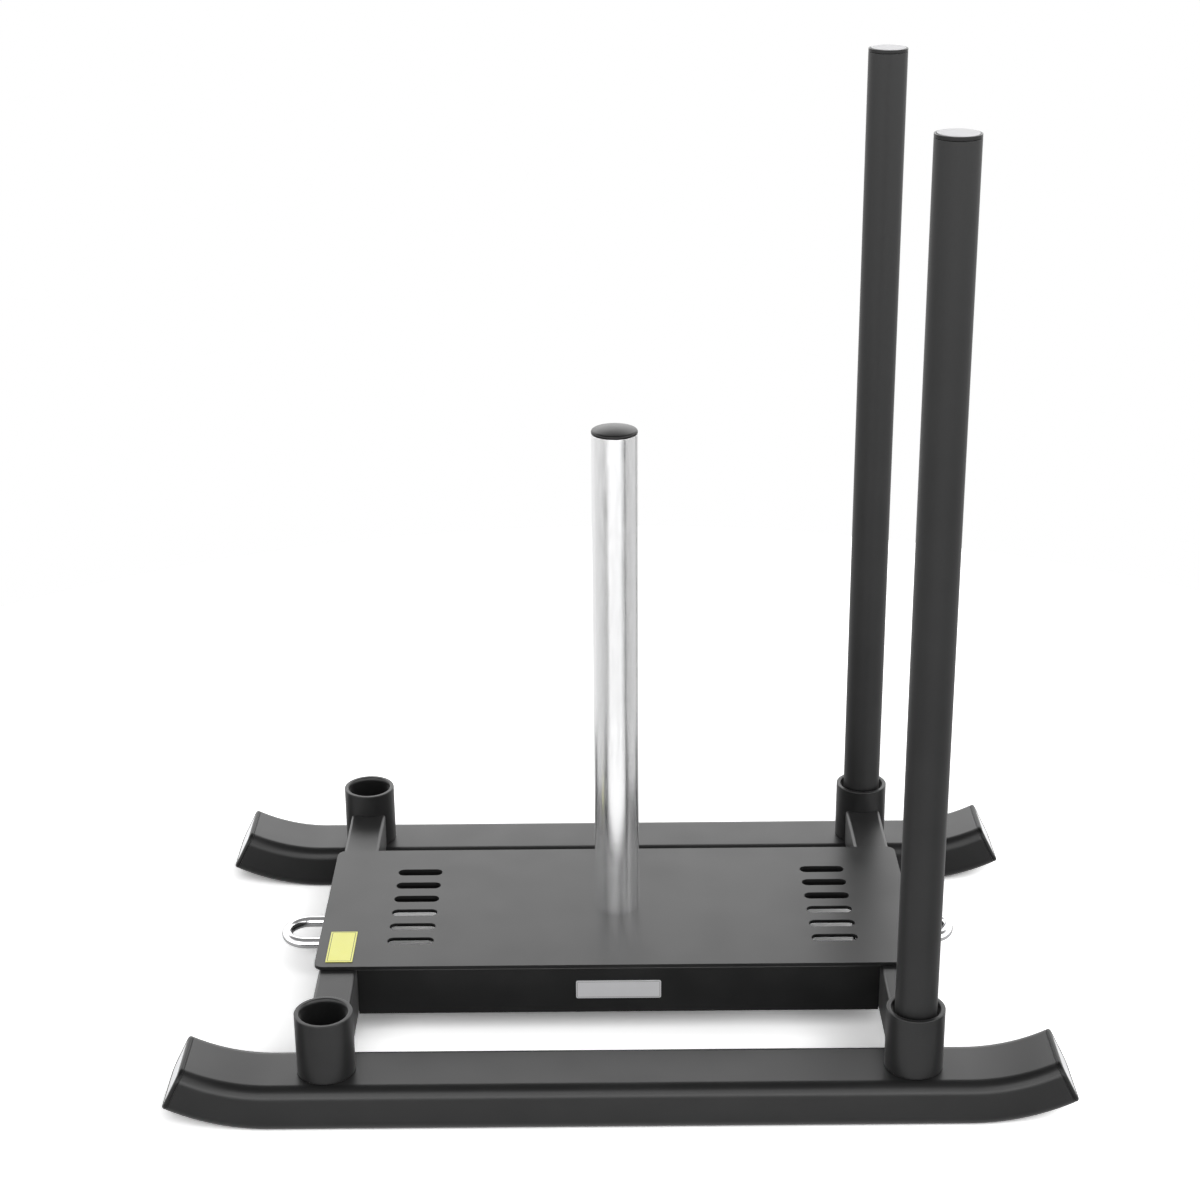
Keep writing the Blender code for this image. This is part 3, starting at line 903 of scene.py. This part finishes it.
@dataclass(frozen=True)
class DeckFrame:
    """The box tubes under the deck: two coped cross tubes, two side beams and the tube under the post."""

    socket: Socket
    height: float = 56.0
    corner: float = 4.0
    beam_corner: float = 2.4
    wall: float = 2.0
    cross_width: float = 40.0
    beam_width: float = 30.0
    beam_y: float = 112.3
    centre_z: float = 62.7
    loop_half: float = 24.0
    rim: float = 0.3
    cutter_reach: float = 60.0

    @property
    def inner_x(self) -> float:
        """How far the cross tubes' inner faces lie from the middle."""
        return self.socket.centre_x - self.cross_width / 2

    def tube(self, width: float, length: float, corner: float) -> Shape:
        """A box tube.

        Args:
            width: Width across.
            length: Length.
            corner: Radius of its corners.

        Returns:
            Its shape, along Y about the origin, with its height along Z.
        """
        work = raised(framed(panel(width, self.height, corner), self.wall), length)
        return move(work, turn("X", 90.0) @ shift(0.0, 0.0, -length / 2))

    def drill(self, place: Matrix) -> Shape:
        """A round cutter for a bolt or rod, along Z, moved to its place."""
        return move(barrel(M12.hole / 2, -self.cutter_reach, self.cutter_reach, steps=HOLE_STEPS), place)

    def cross_tube(self, end: End) -> Shape:
        """A cross tube, cut to fit over the runners and round the sockets, with holes for the tow loop.

        Args:
            end: The sled's end that it is at.

        Returns:
            Its shape in place.
        """
        x = end.value * self.socket.centre_x
        runner = self.socket.runner
        reach = self.cutter_reach
        along = turn("Z", 90.0) @ turn("X", 90.0) @ shift(0.0, 0.0, -reach)
        cutters = []
        for side in Side:
            y = side.value * runner.centre_y
            tunnel = raised(runner.outline(-GAP), 2 * reach)
            cutters.append(move(tunnel, shift(x, y, runner.height / 2) @ along))
            cutters.append(move(barrel(self.socket.diameter / 2 + GAP, 0.0, 3 * reach), shift(x, y, 0.0)))
            cutters.append(self.drill(shift(x, side.value * self.loop_half, self.centre_z) @ turn("Y", 90.0)))
        blank = self.tube(self.cross_width, 2 * runner.centre_y, self.corner)
        return combined(move(blank, shift(x, 0.0, self.centre_z)), cutters, "DIFFERENCE")

    def build(self, workshop: Workshop) -> None:
        """Makes the five tubes.

        Args:
            workshop: Where they are finished.
        """
        for end in End:
            name = f"{end.word}_cross_tube"
            workshop.finish(self.cross_tube(end), f"{name}_coped", name, Slot.POWDER_COAT)
        for side in Side:
            beam = self.tube(self.beam_width, 2 * (self.inner_x - GAP), self.beam_corner)
            soften(move(beam, turn("Z", 90.0)), self.rim, steps=2, above_deg=60.0)
            move(beam, shift(0.0, side.value * self.beam_y, self.centre_z))
            name = f"{side.word}_side_beam"
            workshop.finish(beam, f"{name}_tube", name, Slot.POWDER_COAT)
        centre = self.tube(self.cross_width, 2 * (self.beam_y - self.beam_width / 2 - GAP), self.corner)
        centre = move(combined(centre, [self.drill(Matrix())], "DIFFERENCE"), shift(0.0, 0.0, self.centre_z))
        workshop.finish(centre, "centre_cross_tube_drilled", "centre_cross_tube", Slot.POWDER_COAT)


@dataclass(frozen=True)
class Deck:
    """The deck plate, with a ladder of slots through it near each end."""

    length: float = 643.0
    width: float = 261.0
    thickness: float = 4.0
    corner: float = 10.0
    top_z: float = 95.0
    slot_length: float = 50.0
    slot_width: float = 14.0
    slot_pitch: float = 30.8
    slot_count: int = 6
    slot_groups_x: Span = (-223.0, 233.0)
    edge: float = 0.5

    def shape(self) -> Shape:
        """The plate in place.

        Returns:
            Its shape.
        """
        work = panel(self.length, self.width, self.corner)
        for x in self.slot_groups_x:
            for index in range(self.slot_count):
                y = (index - (self.slot_count - 1) / 2) * self.slot_pitch
                add_panel(work, self.slot_length, self.slot_width, self.slot_width / 2, (x, y))
        bmesh.ops.create_circle(work, segments=HOLE_STEPS, radius=M12.hole / 2 * MM)
        bmesh.ops.delete(work, geom=list(work.faces), context="FACES_ONLY")
        bmesh.ops.remove_doubles(work, verts=work.verts, dist=WELD * MM)
        bmesh.ops.triangle_fill(work, edges=list(work.edges), use_beauty=True, normal=(0.0, 0.0, 1.0))
        soften(raised(work, self.thickness), self.edge, steps=2, above_deg=60.0)
        return move(work, shift(0.0, 0.0, self.top_z - self.thickness))

    def build(self, workshop: Workshop) -> None:
        """Makes the plate. Its flats stay exactly flat, because they mirror the poles."""
        workshop.finish(
            self.shape(), "deck_sheet", "deck_plate", Slot.POWDER_COAT, crease_deg=FLAT_CREASE_DEG
        )


@dataclass(frozen=True)
class WeightPost:
    """The chromed post with its cap, the threaded block in its foot, and its bolt and washer from below."""

    diameter: float = 48.0
    wall: float = 2.5
    length: float = 544.0
    foot_z: float = 95.3
    settle: float = 0.27
    edge: float = 0.2
    cap_rim: float = 3.2
    cap_dome: float = 3.6
    cap_edge: float = 2.2
    cap_stem: float = 18.0
    cap_steps: int = 14
    insert_height: float = 22.0
    frame_foot_z: float = 34.7
    washer_diameter: float = 32.0
    bolt_head: float = 7.5
    bolt_engagement: float = 18.0
    bolt_thread: float = 30.0
    bolt_tip: float = 0.5
    bolt_runout: float = 0.2
    bolt_root: float = 2.0

    @property
    def inner(self) -> float:
        """Radius of what fits inside the post."""
        return self.diameter / 2 - self.wall - STEM_CLEARANCE

    def tube(self) -> Shape:
        """The post's tube, with its foot settled a little below the XY plane, where it meets the deck."""
        outer = self.diameter / 2
        return soften(barrel(outer, -self.settle, self.length, outer - self.wall, 2 * TURN_STEPS), self.edge)

    def cap(self) -> Shape:
        """The domed cap, with its rim on the XY plane and a hollow stem below.

        Returns:
            Its shape.
        """
        outer = self.diameter / 2
        ball = (outer**2 + self.cap_dome**2) / (2 * self.cap_dome)
        profile = []
        for step in range(self.cap_steps + 1):
            angle = math.asin(outer / ball) * step / self.cap_steps
            drop = ball * (1 - math.cos(angle))
            profile.append((ball * math.sin(angle), self.cap_rim + self.cap_dome - drop))
        work = turned([*profile, (outer, 0.0), *stem(self.inner, -self.cap_stem)])
        return soften(soften_rim(work, self.cap_rim, self.cap_edge), GAP, steps=2)

    def insert(self) -> Shape:
        """The threaded block in the post's foot."""
        return soften(barrel(self.inner, 0.0, self.insert_height, M12.major / 2 + GAP), self.edge)

    def bolt(self, shank: float) -> Shape:
        """The bolt, with its head's upper face on the XY plane.

        Args:
            shank: Length above the head.

        Returns:
            Its shape.
        """
        radius = M12.major / 2
        plain = shank - M12.pitch * round(self.bolt_thread / M12.pitch) - self.bolt_tip
        thread = M12.thread(plain + self.bolt_runout, self.bolt_thread)
        root = -self.bolt_root
        profile = [(0.0, root), (radius, root), (radius, plain), *thread, (0.0, thread[-1][1])]
        head = move(M12.head(self.bolt_head), shift(0.0, 0.0, -self.bolt_head))
        return combined(head, [turned(profile, HOLE_STEPS)], "UNION")

    def build(self, workshop: Workshop) -> None:
        """Makes the post's five pieces.

        Args:
            workshop: Where they are finished.
        """
        washer_top = self.frame_foot_z - GAP
        head_top = washer_top - M12.washer_thickness - GAP
        bolt = self.bolt(self.foot_z + self.bolt_engagement - head_top)
        washer = M12.washer(self.washer_diameter, TURN_STEPS)
        for work, level, name, part, slot in (
            (self.tube(), self.foot_z, "tube", "", Slot.CHROME),
            (self.cap(), self.foot_z + self.length + GAP, "top_cap", "_cap", Slot.PLASTIC),
            (self.insert(), self.foot_z, "foot_block", "_insert", Slot.ZINC),
            (washer, washer_top, "flat_washer", "_washer", Slot.ZINC),
            (bolt, head_top, "hex_bolt", "_bolt", Slot.ZINC),
        ):
            move(work, shift(0.0, 0.0, level))
            workshop.finish(work, f"weight_post_{name}", f"weight_post{part}", slot)


@dataclass(frozen=True)
class PushPole:
    """A push pole: a plain tube, a cap with a pale disc on top and a plug in its foot."""

    socket: Socket
    diameter: float = 42.4
    wall: float = 2.0
    length: float = 929.2
    edge: float = 0.4
    stem_reach: float = 20.0
    foot_flange: float = 3.0
    cap_flange: float = 3.6
    disc_diameter: float = 38.0
    disc_thickness: float = 0.9
    disc_recess: float = 0.6
    disc_round: float = 0.25

    @property
    def inner(self) -> float:
        """Radius of what fits inside the pole."""
        return self.diameter / 2 - self.wall - STEM_CLEARANCE

    def tube(self) -> Shape:
        """The pole's tube, standing on the XY plane."""
        outer = self.diameter / 2
        return soften(barrel(outer, 0.0, self.length, outer - self.wall), self.edge)

    def cap(self) -> Shape:
        """The cap, with the disc's recess in its top.

        Returns:
            Its shape, with the flange on the XY plane.
        """
        outer = self.diameter / 2
        seat = self.cap_flange - self.disc_recess
        rim = self.disc_diameter / 2 + GAP
        flange = [(0.0, seat), (rim, seat), (rim, self.cap_flange), (outer, self.cap_flange), (outer, 0.0)]
        return soften(turned(flange + stem(self.inner, -self.stem_reach)), GAP)

    def disc(self) -> Shape:
        """The pale disc, standing on the XY plane."""
        return soften(barrel(self.disc_diameter / 2, 0.0, self.disc_thickness), self.disc_round)

    def foot(self) -> Shape:
        """The plug in the pole's foot.

        Returns:
            Its shape, with the flange below the XY plane.
        """
        outer = self.diameter / 2
        flange = [(0.0, -self.foot_flange), (outer, -self.foot_flange), (outer, 0.0)]
        return soften(turned(flange + stem(self.inner, self.stem_reach)), self.edge)

    def build(self, workshop: Workshop) -> None:
        """Makes the pole's four pieces, in its socket.

        Args:
            workshop: Where they are finished.
        """
        side = self.socket.runner.side
        node = f"{side.word}_push_pole"
        body = Body[f"{side.name}_POLE"]
        x, y, foot_z = self.socket.foot
        start = foot_z + self.foot_flange + GAP
        top = start + self.length + GAP
        seat = top + self.cap_flange - self.disc_recess + GAP
        for work, level, name, part, slot, coat in (
            (self.tube(), start, "tube", "", Slot.POWDER_COAT, workshop.pole),
            (self.cap(), top, "top_cap", "_cap", Slot.PLASTIC, None),
            (self.disc(), seat, "cap_disc", "_disc", Slot.DISC, None),
            (self.foot(), start - GAP, "foot_plug", "_foot", Slot.PLASTIC, None),
        ):
            move(work, shift(x, y, level))
            workshop.finish(work, f"{node}_{name}", f"{node}{part}", slot, body, coat=coat)


@dataclass(frozen=True)
class TowLoop:
    """A tow loop: a bent chromed rod whose threaded legs are held by nuts behind the cross tube."""

    end: End
    deck_frame: DeckFrame
    rod: float = 12.0
    bend_x: float = 342.5
    leg_tail: float = 4.0
    thread_length: float = 29.75
    washer_diameter: float = 24.0
    nut_height: float = 10.0
    nut_lead: float = 0.7
    cutter_reach: float = 1.0
    round_steps: int = 32
    bend_steps: int = 24

    @property
    def nut_x(self) -> float:
        """How far the nuts' inner faces lie from the middle."""
        return self.deck_frame.inner_x - M12.washer_thickness - 2 * GAP - self.nut_height

    def rod_shape(self) -> Shape:
        """The rod of the rear loop.

        Returns:
            Its shape, with one leg made, bent a quarter turn and mirrored.
        """
        work = bmesh.new()
        bmesh.ops.create_circle(work, cap_ends=True, segments=self.round_steps, radius=self.rod / 2 * MM)
        leg_end = self.nut_x - self.leg_tail
        level_z = self.deck_frame.centre_z
        place = shift(leg_end, self.deck_frame.loop_half, level_z) @ turn("Y", 90.0)
        move(work, place)
        centre = place.to_translation()
        ridges = M12.thread(0.0, self.thread_length)
        face = list(work.faces)
        radius, level = ridges[0]
        self.grow(work, face, centre, radius / (self.rod / 2))
        for next_radius, next_level in ridges[1:] + [(self.rod / 2, self.thread_length + GAP)]:
            step = (next_level - level, 0.0, 0.0)
            face = pull(work, face, step)
            centre = centre + scaled(step)
            self.grow(work, face, centre, next_radius / radius)
            radius, level = next_radius, next_level
        face = pull(work, face, (self.bend_x - leg_end - level, 0.0, 0.0))
        bmesh.ops.spin(
            work,
            geom=with_edges(face),
            cent=scaled((self.bend_x, 0.0, level_z)),
            axis=(0.0, 0.0, -1.0),
            angle=math.pi / 2,
            steps=self.bend_steps,
        )
        middle = [face for face in work.faces if all(abs(vert.co.y) < WELD * MM for vert in face.verts)]
        bmesh.ops.delete(work, geom=middle, context="FACES")
        bmesh.ops.mirror(work, geom=[*work.verts, *work.edges, *work.faces], axis="Y", merge_dist=WELD * MM)
        return work

    def grow(self, work: Shape, faces: Iterable[Face], centre: Vector, factor: float) -> None:
        """Scales the face at the rod's end about the centre line."""
        verts = list({vert for face in faces for vert in face.verts})
        bmesh.ops.scale(work, verts=verts, vec=(1.0, factor, factor), space=Matrix.Translation(-centre))

    def nut(self) -> Shape:
        """A nut with a countersunk hole.

        Returns:
            Its shape, from the XY plane up.
        """
        top = self.nut_height
        past = self.cutter_reach
        hole = M12.major / 2 + GAP
        lead = self.nut_lead
        wide = hole + lead + past
        low = [(0.0, -past), (wide, -past), (hole, lead)]
        high = [(hole, top - lead), (wide, top + past), (0.0, top + past)]
        return combined(M12.head(top), [turned(low + high, HOLE_STEPS)], "DIFFERENCE")

    def build(self, workshop: Workshop) -> None:
        """Makes the loop, its two washers and its two nuts.

        Args:
            workshop: Where they are finished.
        """
        name = f"{self.end.word}_tow_loop"
        facing = Matrix() if self.end is End.REAR else turn("Z", 180.0)
        workshop.finish(move(self.rod_shape(), facing), f"{name}_rod", name, Slot.CHROME, coat=workshop.rod)
        outward = self.end.value
        along = turn("Y", 90.0 * outward)
        for side in Side:
            y = side.value * self.deck_frame.loop_half
            z = self.deck_frame.centre_z
            washer = M12.washer(self.washer_diameter, HOLE_STEPS)
            move(washer, shift(outward * (self.deck_frame.inner_x - GAP), y, z) @ along)
            nut = move(self.nut(), shift(outward * self.nut_x, y, z) @ along)
            part = f"{name}_{side.word}"
            workshop.finish(washer, f"{part}_flat_washer", f"{part}_washer", Slot.ZINC)
            workshop.finish(nut, f"{part}_hex_nut", f"{part}_nut", Slot.ZINC)


@dataclass(frozen=True)
class Label:
    """A bare label: a thin plate or film with a printed frame line."""

    name: str
    node: str
    slot: Slot
    width: float
    height: float
    thickness: float
    corner: float
    margin: float
    line: float
    line_corner: float
    edge: float = 0.12

    def build(self, workshop: Workshop, place: Matrix) -> None:
        """Makes the label, with its frame line in it.

        Args:
            workshop: Where it is finished.
            place: Where the middle of its back goes.
        """
        work = panel(self.width, self.height, self.corner)
        top = pull(work, work.faces, (0.0, 0.0, self.thickness))
        rounded(work, [edge for face in top for edge in face.edges], self.edge, steps=2)
        outline = panel(self.width - 2 * self.margin, self.height - 2 * self.margin, self.line_corner)
        work = move(printed(work, outline, self.line, self.thickness), place)
        workshop.finish(work, self.name, self.node, self.slot, crease_deg=FLAT_CREASE_DEG)


@dataclass(frozen=True)
class Labels:
    """The sticker on the deck's front left corner and the plate on the left side beam."""

    deck: Deck
    deck_frame: DeckFrame
    front_margin: float = 11.5
    side_margin: float = 9.25
    rise: float = 1.0
    sticker: Label = Label(
        "blank_weight_sticker",
        "weight_sticker",
        Slot.YELLOW,
        width=28.5,
        height=63.5,
        thickness=0.5,
        corner=0.5,
        margin=1.6,
        line=0.6,
        line_corner=0.8,
    )
    plate: Label = Label(
        "blank_label_plate",
        "label_plate",
        Slot.SILVER,
        width=90.0,
        height=21.0,
        thickness=0.8,
        corner=2.0,
        margin=1.2,
        line=0.35,
        line_corner=1.2,
    )

    def build(self, workshop: Workshop) -> None:
        """Makes the two labels.

        Args:
            workshop: Where they are finished.
        """
        x = self.front_margin + self.sticker.width / 2 - self.deck.length / 2
        y = self.side_margin + self.sticker.height / 2 - self.deck.width / 2
        self.sticker.build(workshop, shift(x, y, self.deck.top_z + GAP))
        beam_face = self.deck_frame.beam_y + self.deck_frame.beam_width / 2 + GAP
        place = shift(0.0, -beam_face, self.deck_frame.centre_z + self.rise) @ turn("X", 90.0)
        self.plate.build(workshop, place)


# The studio


@dataclass(frozen=True)
class StudioCamera:
    """The camera, at the photograph's place and angle."""

    place: Point = (-14.12, -2247.98, 1343.95)
    lens_mm: float = 69.149
    sensor_mm: float = 36.0
    down_deg: float = 21.542
    yaw_deg: float = -0.0514
    roll_deg: float = -0.5109

    def build(self) -> None:
        """Makes the camera and sets it as the scene's."""
        data = bpy.data.cameras.new("studio_camera")
        data.lens = self.lens_mm
        data.sensor_width = self.sensor_mm
        data.sensor_fit = "HORIZONTAL"
        camera = bpy.data.objects.new("studio_camera", data)
        bpy.context.scene.collection.objects.link(camera)
        facing = turn("Z", -self.yaw_deg) @ turn("X", 90.0 - self.down_deg) @ turn("Z", self.roll_deg)
        camera.matrix_world = shift(*self.place) @ facing
        bpy.context.scene.camera = camera


class Surroundings(Wiring):
    """The studio's walls and ceiling, as the world: white behind the sled, plain light and what gloss shows.

    Each stop is an angle in degrees and a brightness. Round the horizon, 0 is toward the camera and 90 toward
    the sled's rear. The other stops go by height over the horizon. A pair of angles is where something starts
    and where it is full.
    """

    low_bands = (
        *((-180.0, 0.8), (-125.0, 0.8), (-112.0, 0.66), (-60.0, 0.64), (-51.0, 0.42), (-41.0, 0.46)),
        *((-30.0, 1.1), (28.0, 1.1), (38.0, 0.62), (48.0, 0.56), (105.0, 0.56), (120.0, 0.55), (180.0, 0.8)),
    )
    boxes = (
        *((-180.0, 1.0), (-125.0, 2.0), (-100.0, 4.0), (-60.0, 3.0), (-45.0, 6.0), (-5.0, 9.0), (10.0, 5.0)),
        *((24.0, 1.0), (36.0, 9.0), (72.0, 11.0), (86.0, 2.0), (100.0, 0.7), (130.0, 0.7), (180.0, 1.0)),
    )
    toward_camera = (
        *((-90.0, 0.9), (-14.0, 0.75), (-10.0, 0.9), (-5.0, 5.2)),
        *((8.0, 5.2), (16.0, 0.9), (26.0, 0.45), (90.0, 0.28)),
    )
    away = (
        *((-90.0, 1.0), (-12.0, 1.1), (-4.0, 1.5), (10.0, 2.2), (24.0, 3.2)),
        *((33.0, 3.1), (40.0, 1.3), (47.0, 0.3), (90.0, 0.28)),
    )
    low_bands_below = (-6.0, -13.0)
    boxes_above = (16.0, 24.0)
    boxes_under = (52.0, 42.0)
    away_past = (60.0, 105.0)
    brightest = 12.0
    fill = 0.25

    def __init__(self) -> None:
        """Starts the world's node tree."""
        self.world = bpy.data.worlds.new("studio")
        self.world.use_nodes = True
        self.world.node_tree.nodes.clear()
        super().__init__(self.world.node_tree)

    def levels(self, source: NodeSocket, stops: Sequence[Span]) -> NodeSocket:
        """Brightness read from stops.

        Args:
            source: Socket of an angle in degrees.
            stops: Angle and brightness of each stop, over the angle's whole range.

        Returns:
            The socket of the brightness.
        """
        low, high = stops[0][0], stops[-1][0]
        greys = [((angle - low) / (high - low), (level / self.brightest,) * 3) for angle, level in stops]
        return self.calc("MULTIPLY", self.ramp(self.share(source, low, high), greys), self.brightest)

    def build(self) -> None:
        """Wires the world and sets it as the scene's."""
        x, y, z = self.node("SeparateXYZ", self.node("TexCoord").outputs["Generated"]).outputs
        height = self.calc("DEGREES", self.calc("ARCSINE", z))
        azimuth = self.calc("DEGREES", self.calc("ARCTAN2", x, self.calc("MULTIPLY", y, -1.0)))
        above = self.share(height, *self.boxes_above)
        within = self.calc("MULTIPLY", above, self.share(height, *self.boxes_under))
        boxes = self.mixed(1.0, self.levels(azimuth, self.boxes), within)
        near = self.calc("MULTIPLY", self.levels(height, self.toward_camera), boxes)
        aside = self.share(self.calc("ABSOLUTE", azimuth), *self.away_past)
        whole = self.mixed(near, self.levels(height, self.away), aside)
        below = self.share(height, *self.low_bands_below)
        whole = self.calc("MULTIPLY", whole, self.mixed(1.0, self.levels(azimuth, self.low_bands), below))
        ray = self.node("LightPath").outputs
        seen = ray["Is Camera Ray"]
        gloss = self.calc("MAXIMUM", ray["Is Glossy Ray"], ray["Is Transmission Ray"])
        rest = self.calc("SUBTRACT", 1.0, self.calc("MAXIMUM", gloss, seen))
        total = self.calc("ADD", seen, self.calc("MULTIPLY", gloss, whole))
        total = self.calc("ADD", total, self.calc("MULTIPLY", rest, self.fill))
        self.node("OutputWorld", self.node("Background", WHITE, total).outputs[0])
        bpy.context.scene.world = self.world
        self.world.cycles.sampling_method = "NONE"


@dataclass(frozen=True)
class SoftLight:
    """A broad, even light from far off that lights paint and floor, and isn't mirrored in gloss."""

    name: str
    toward: Point
    spread_deg: float
    strength: float

    def build(self) -> None:
        """Makes the light, shining from its side down on the sled."""
        data = bpy.data.lights.new(self.name, "SUN")
        data.angle = math.radians(self.spread_deg)
        data.energy = self.strength
        lamp = bpy.data.objects.new(self.name, data)
        bpy.context.scene.collection.objects.link(lamp)
        lamp.location = Vector(self.toward)
        lamp.rotation_euler = (-lamp.location).to_track_quat("-Z", "Y").to_euler()
        lamp.visible_glossy = False
        lamp.visible_camera = False


@dataclass(frozen=True)
class Floor:
    """The plain white floor under the sled. It holds the shadow, and fades out in gloss some way off."""

    radius: float = 1500.0
    steps: int = 128
    colour: float = 0.8
    camera_gain: float = 0.8
    # The pool: painted light in the floor's colour for gloss, brighter in front of the sled, with painted
    # shade farther out
    pool_centre: Point = (0.0, -480.0, 0.0)
    pool_reach: Point = (520.0, 260.0, 1000.0)
    pool_edge: Span = (0.5, 1.5)
    painted_light_pool_gain: float = 0.3
    painted_shade_rim_gain: float = -0.2
    fade_from: float = 450.0
    fade_to: float = 800.0

    def material(self) -> bpy.types.Material:
        """The floor's finish.

        Returns:
            A matt white, lifted to plain white for the camera. In gloss its colour has a painted pool of
            light in front, and painted shade farther out.
        """
        material = bpy.data.materials.new("studio floor")
        material.use_nodes = True
        material.node_tree.nodes.clear()
        wiring = Wiring(material.node_tree)
        ray = wiring.node("LightPath").outputs
        gloss = wiring.calc("MAXIMUM", ray["Is Glossy Ray"], ray["Is Transmission Ray"])
        place = wiring.node("TexCoord").outputs["Object"]
        pool = place
        for operation, value in (("SUBTRACT", self.pool_centre), ("DIVIDE", self.pool_reach)):
            pool = wiring.node("VectorMath", pool, scaled(value), operation=operation).outputs[0]
        away = wiring.node("VectorMath", pool, operation="LENGTH").outputs["Value"]
        # Painted light and shade for gloss only: the colour is raised in the pool in front and lowered round
        # it
        gains = (*self.pool_edge, self.painted_light_pool_gain, self.painted_shade_rim_gain)
        gain = wiring.node("MapRange", away, *gains, interpolation_type="SMOOTHSTEP").outputs[0]
        plain = wiring.calc("MULTIPLY_ADD", ray["Is Camera Ray"], self.camera_gain, self.colour)
        matt = wiring.node("BsdfDiffuse", wiring.calc("MULTIPLY_ADD", gloss, gain, plain)).outputs[0]
        distance = wiring.node("VectorMath", place, operation="LENGTH").outputs["Value"]
        fade = wiring.share(distance, self.fade_from * MM, self.fade_to * MM)
        clear = wiring.node("BsdfTransparent").outputs[0]
        both = wiring.node("MixShader", wiring.calc("MULTIPLY", fade, gloss), matt, clear).outputs[0]
        wiring.node("OutputMaterial", both)
        return material

    def build(self) -> None:
        """Makes the floor."""
        work = bmesh.new()
        bmesh.ops.create_circle(work, cap_ends=True, segments=self.steps, radius=self.radius * MM)
        floor = as_object(work, "studio_floor")
        floor.data.materials.append(self.material())


def main() -> None:
    """Builds the studio and every piece of the sled, in order."""
    logging.basicConfig(level=logging.INFO, format="%(message)s")
    bpy.context.scene.view_settings.view_transform = "Standard"
    StudioCamera().build()
    Surroundings().build()
    Floor().build()
    SoftLight("key_light", toward=(2.0, -0.5, 1.7), spread_deg=45.0, strength=1.3).build()
    SoftLight("front_light", toward=(0.2, -2.3, 1.8), spread_deg=40.0, strength=2.6).build()
    workshop = Workshop()
    runners = [Runner(side) for side in Side]
    sockets = [Socket(runner, end) for runner in runners for end in End]
    deck_frame = DeckFrame(sockets[0])
    deck = Deck()
    poles = [PushPole(socket) for socket in sockets if socket.end is End.REAR]
    loops = [TowLoop(end, deck_frame) for end in End]
    middle = (deck_frame, deck, WeightPost())
    for part in (*runners, *sockets, *middle, *poles, *loops, Labels(deck, deck_frame)):
        part.build(workshop)


if __name__ == "__main__":
    main()
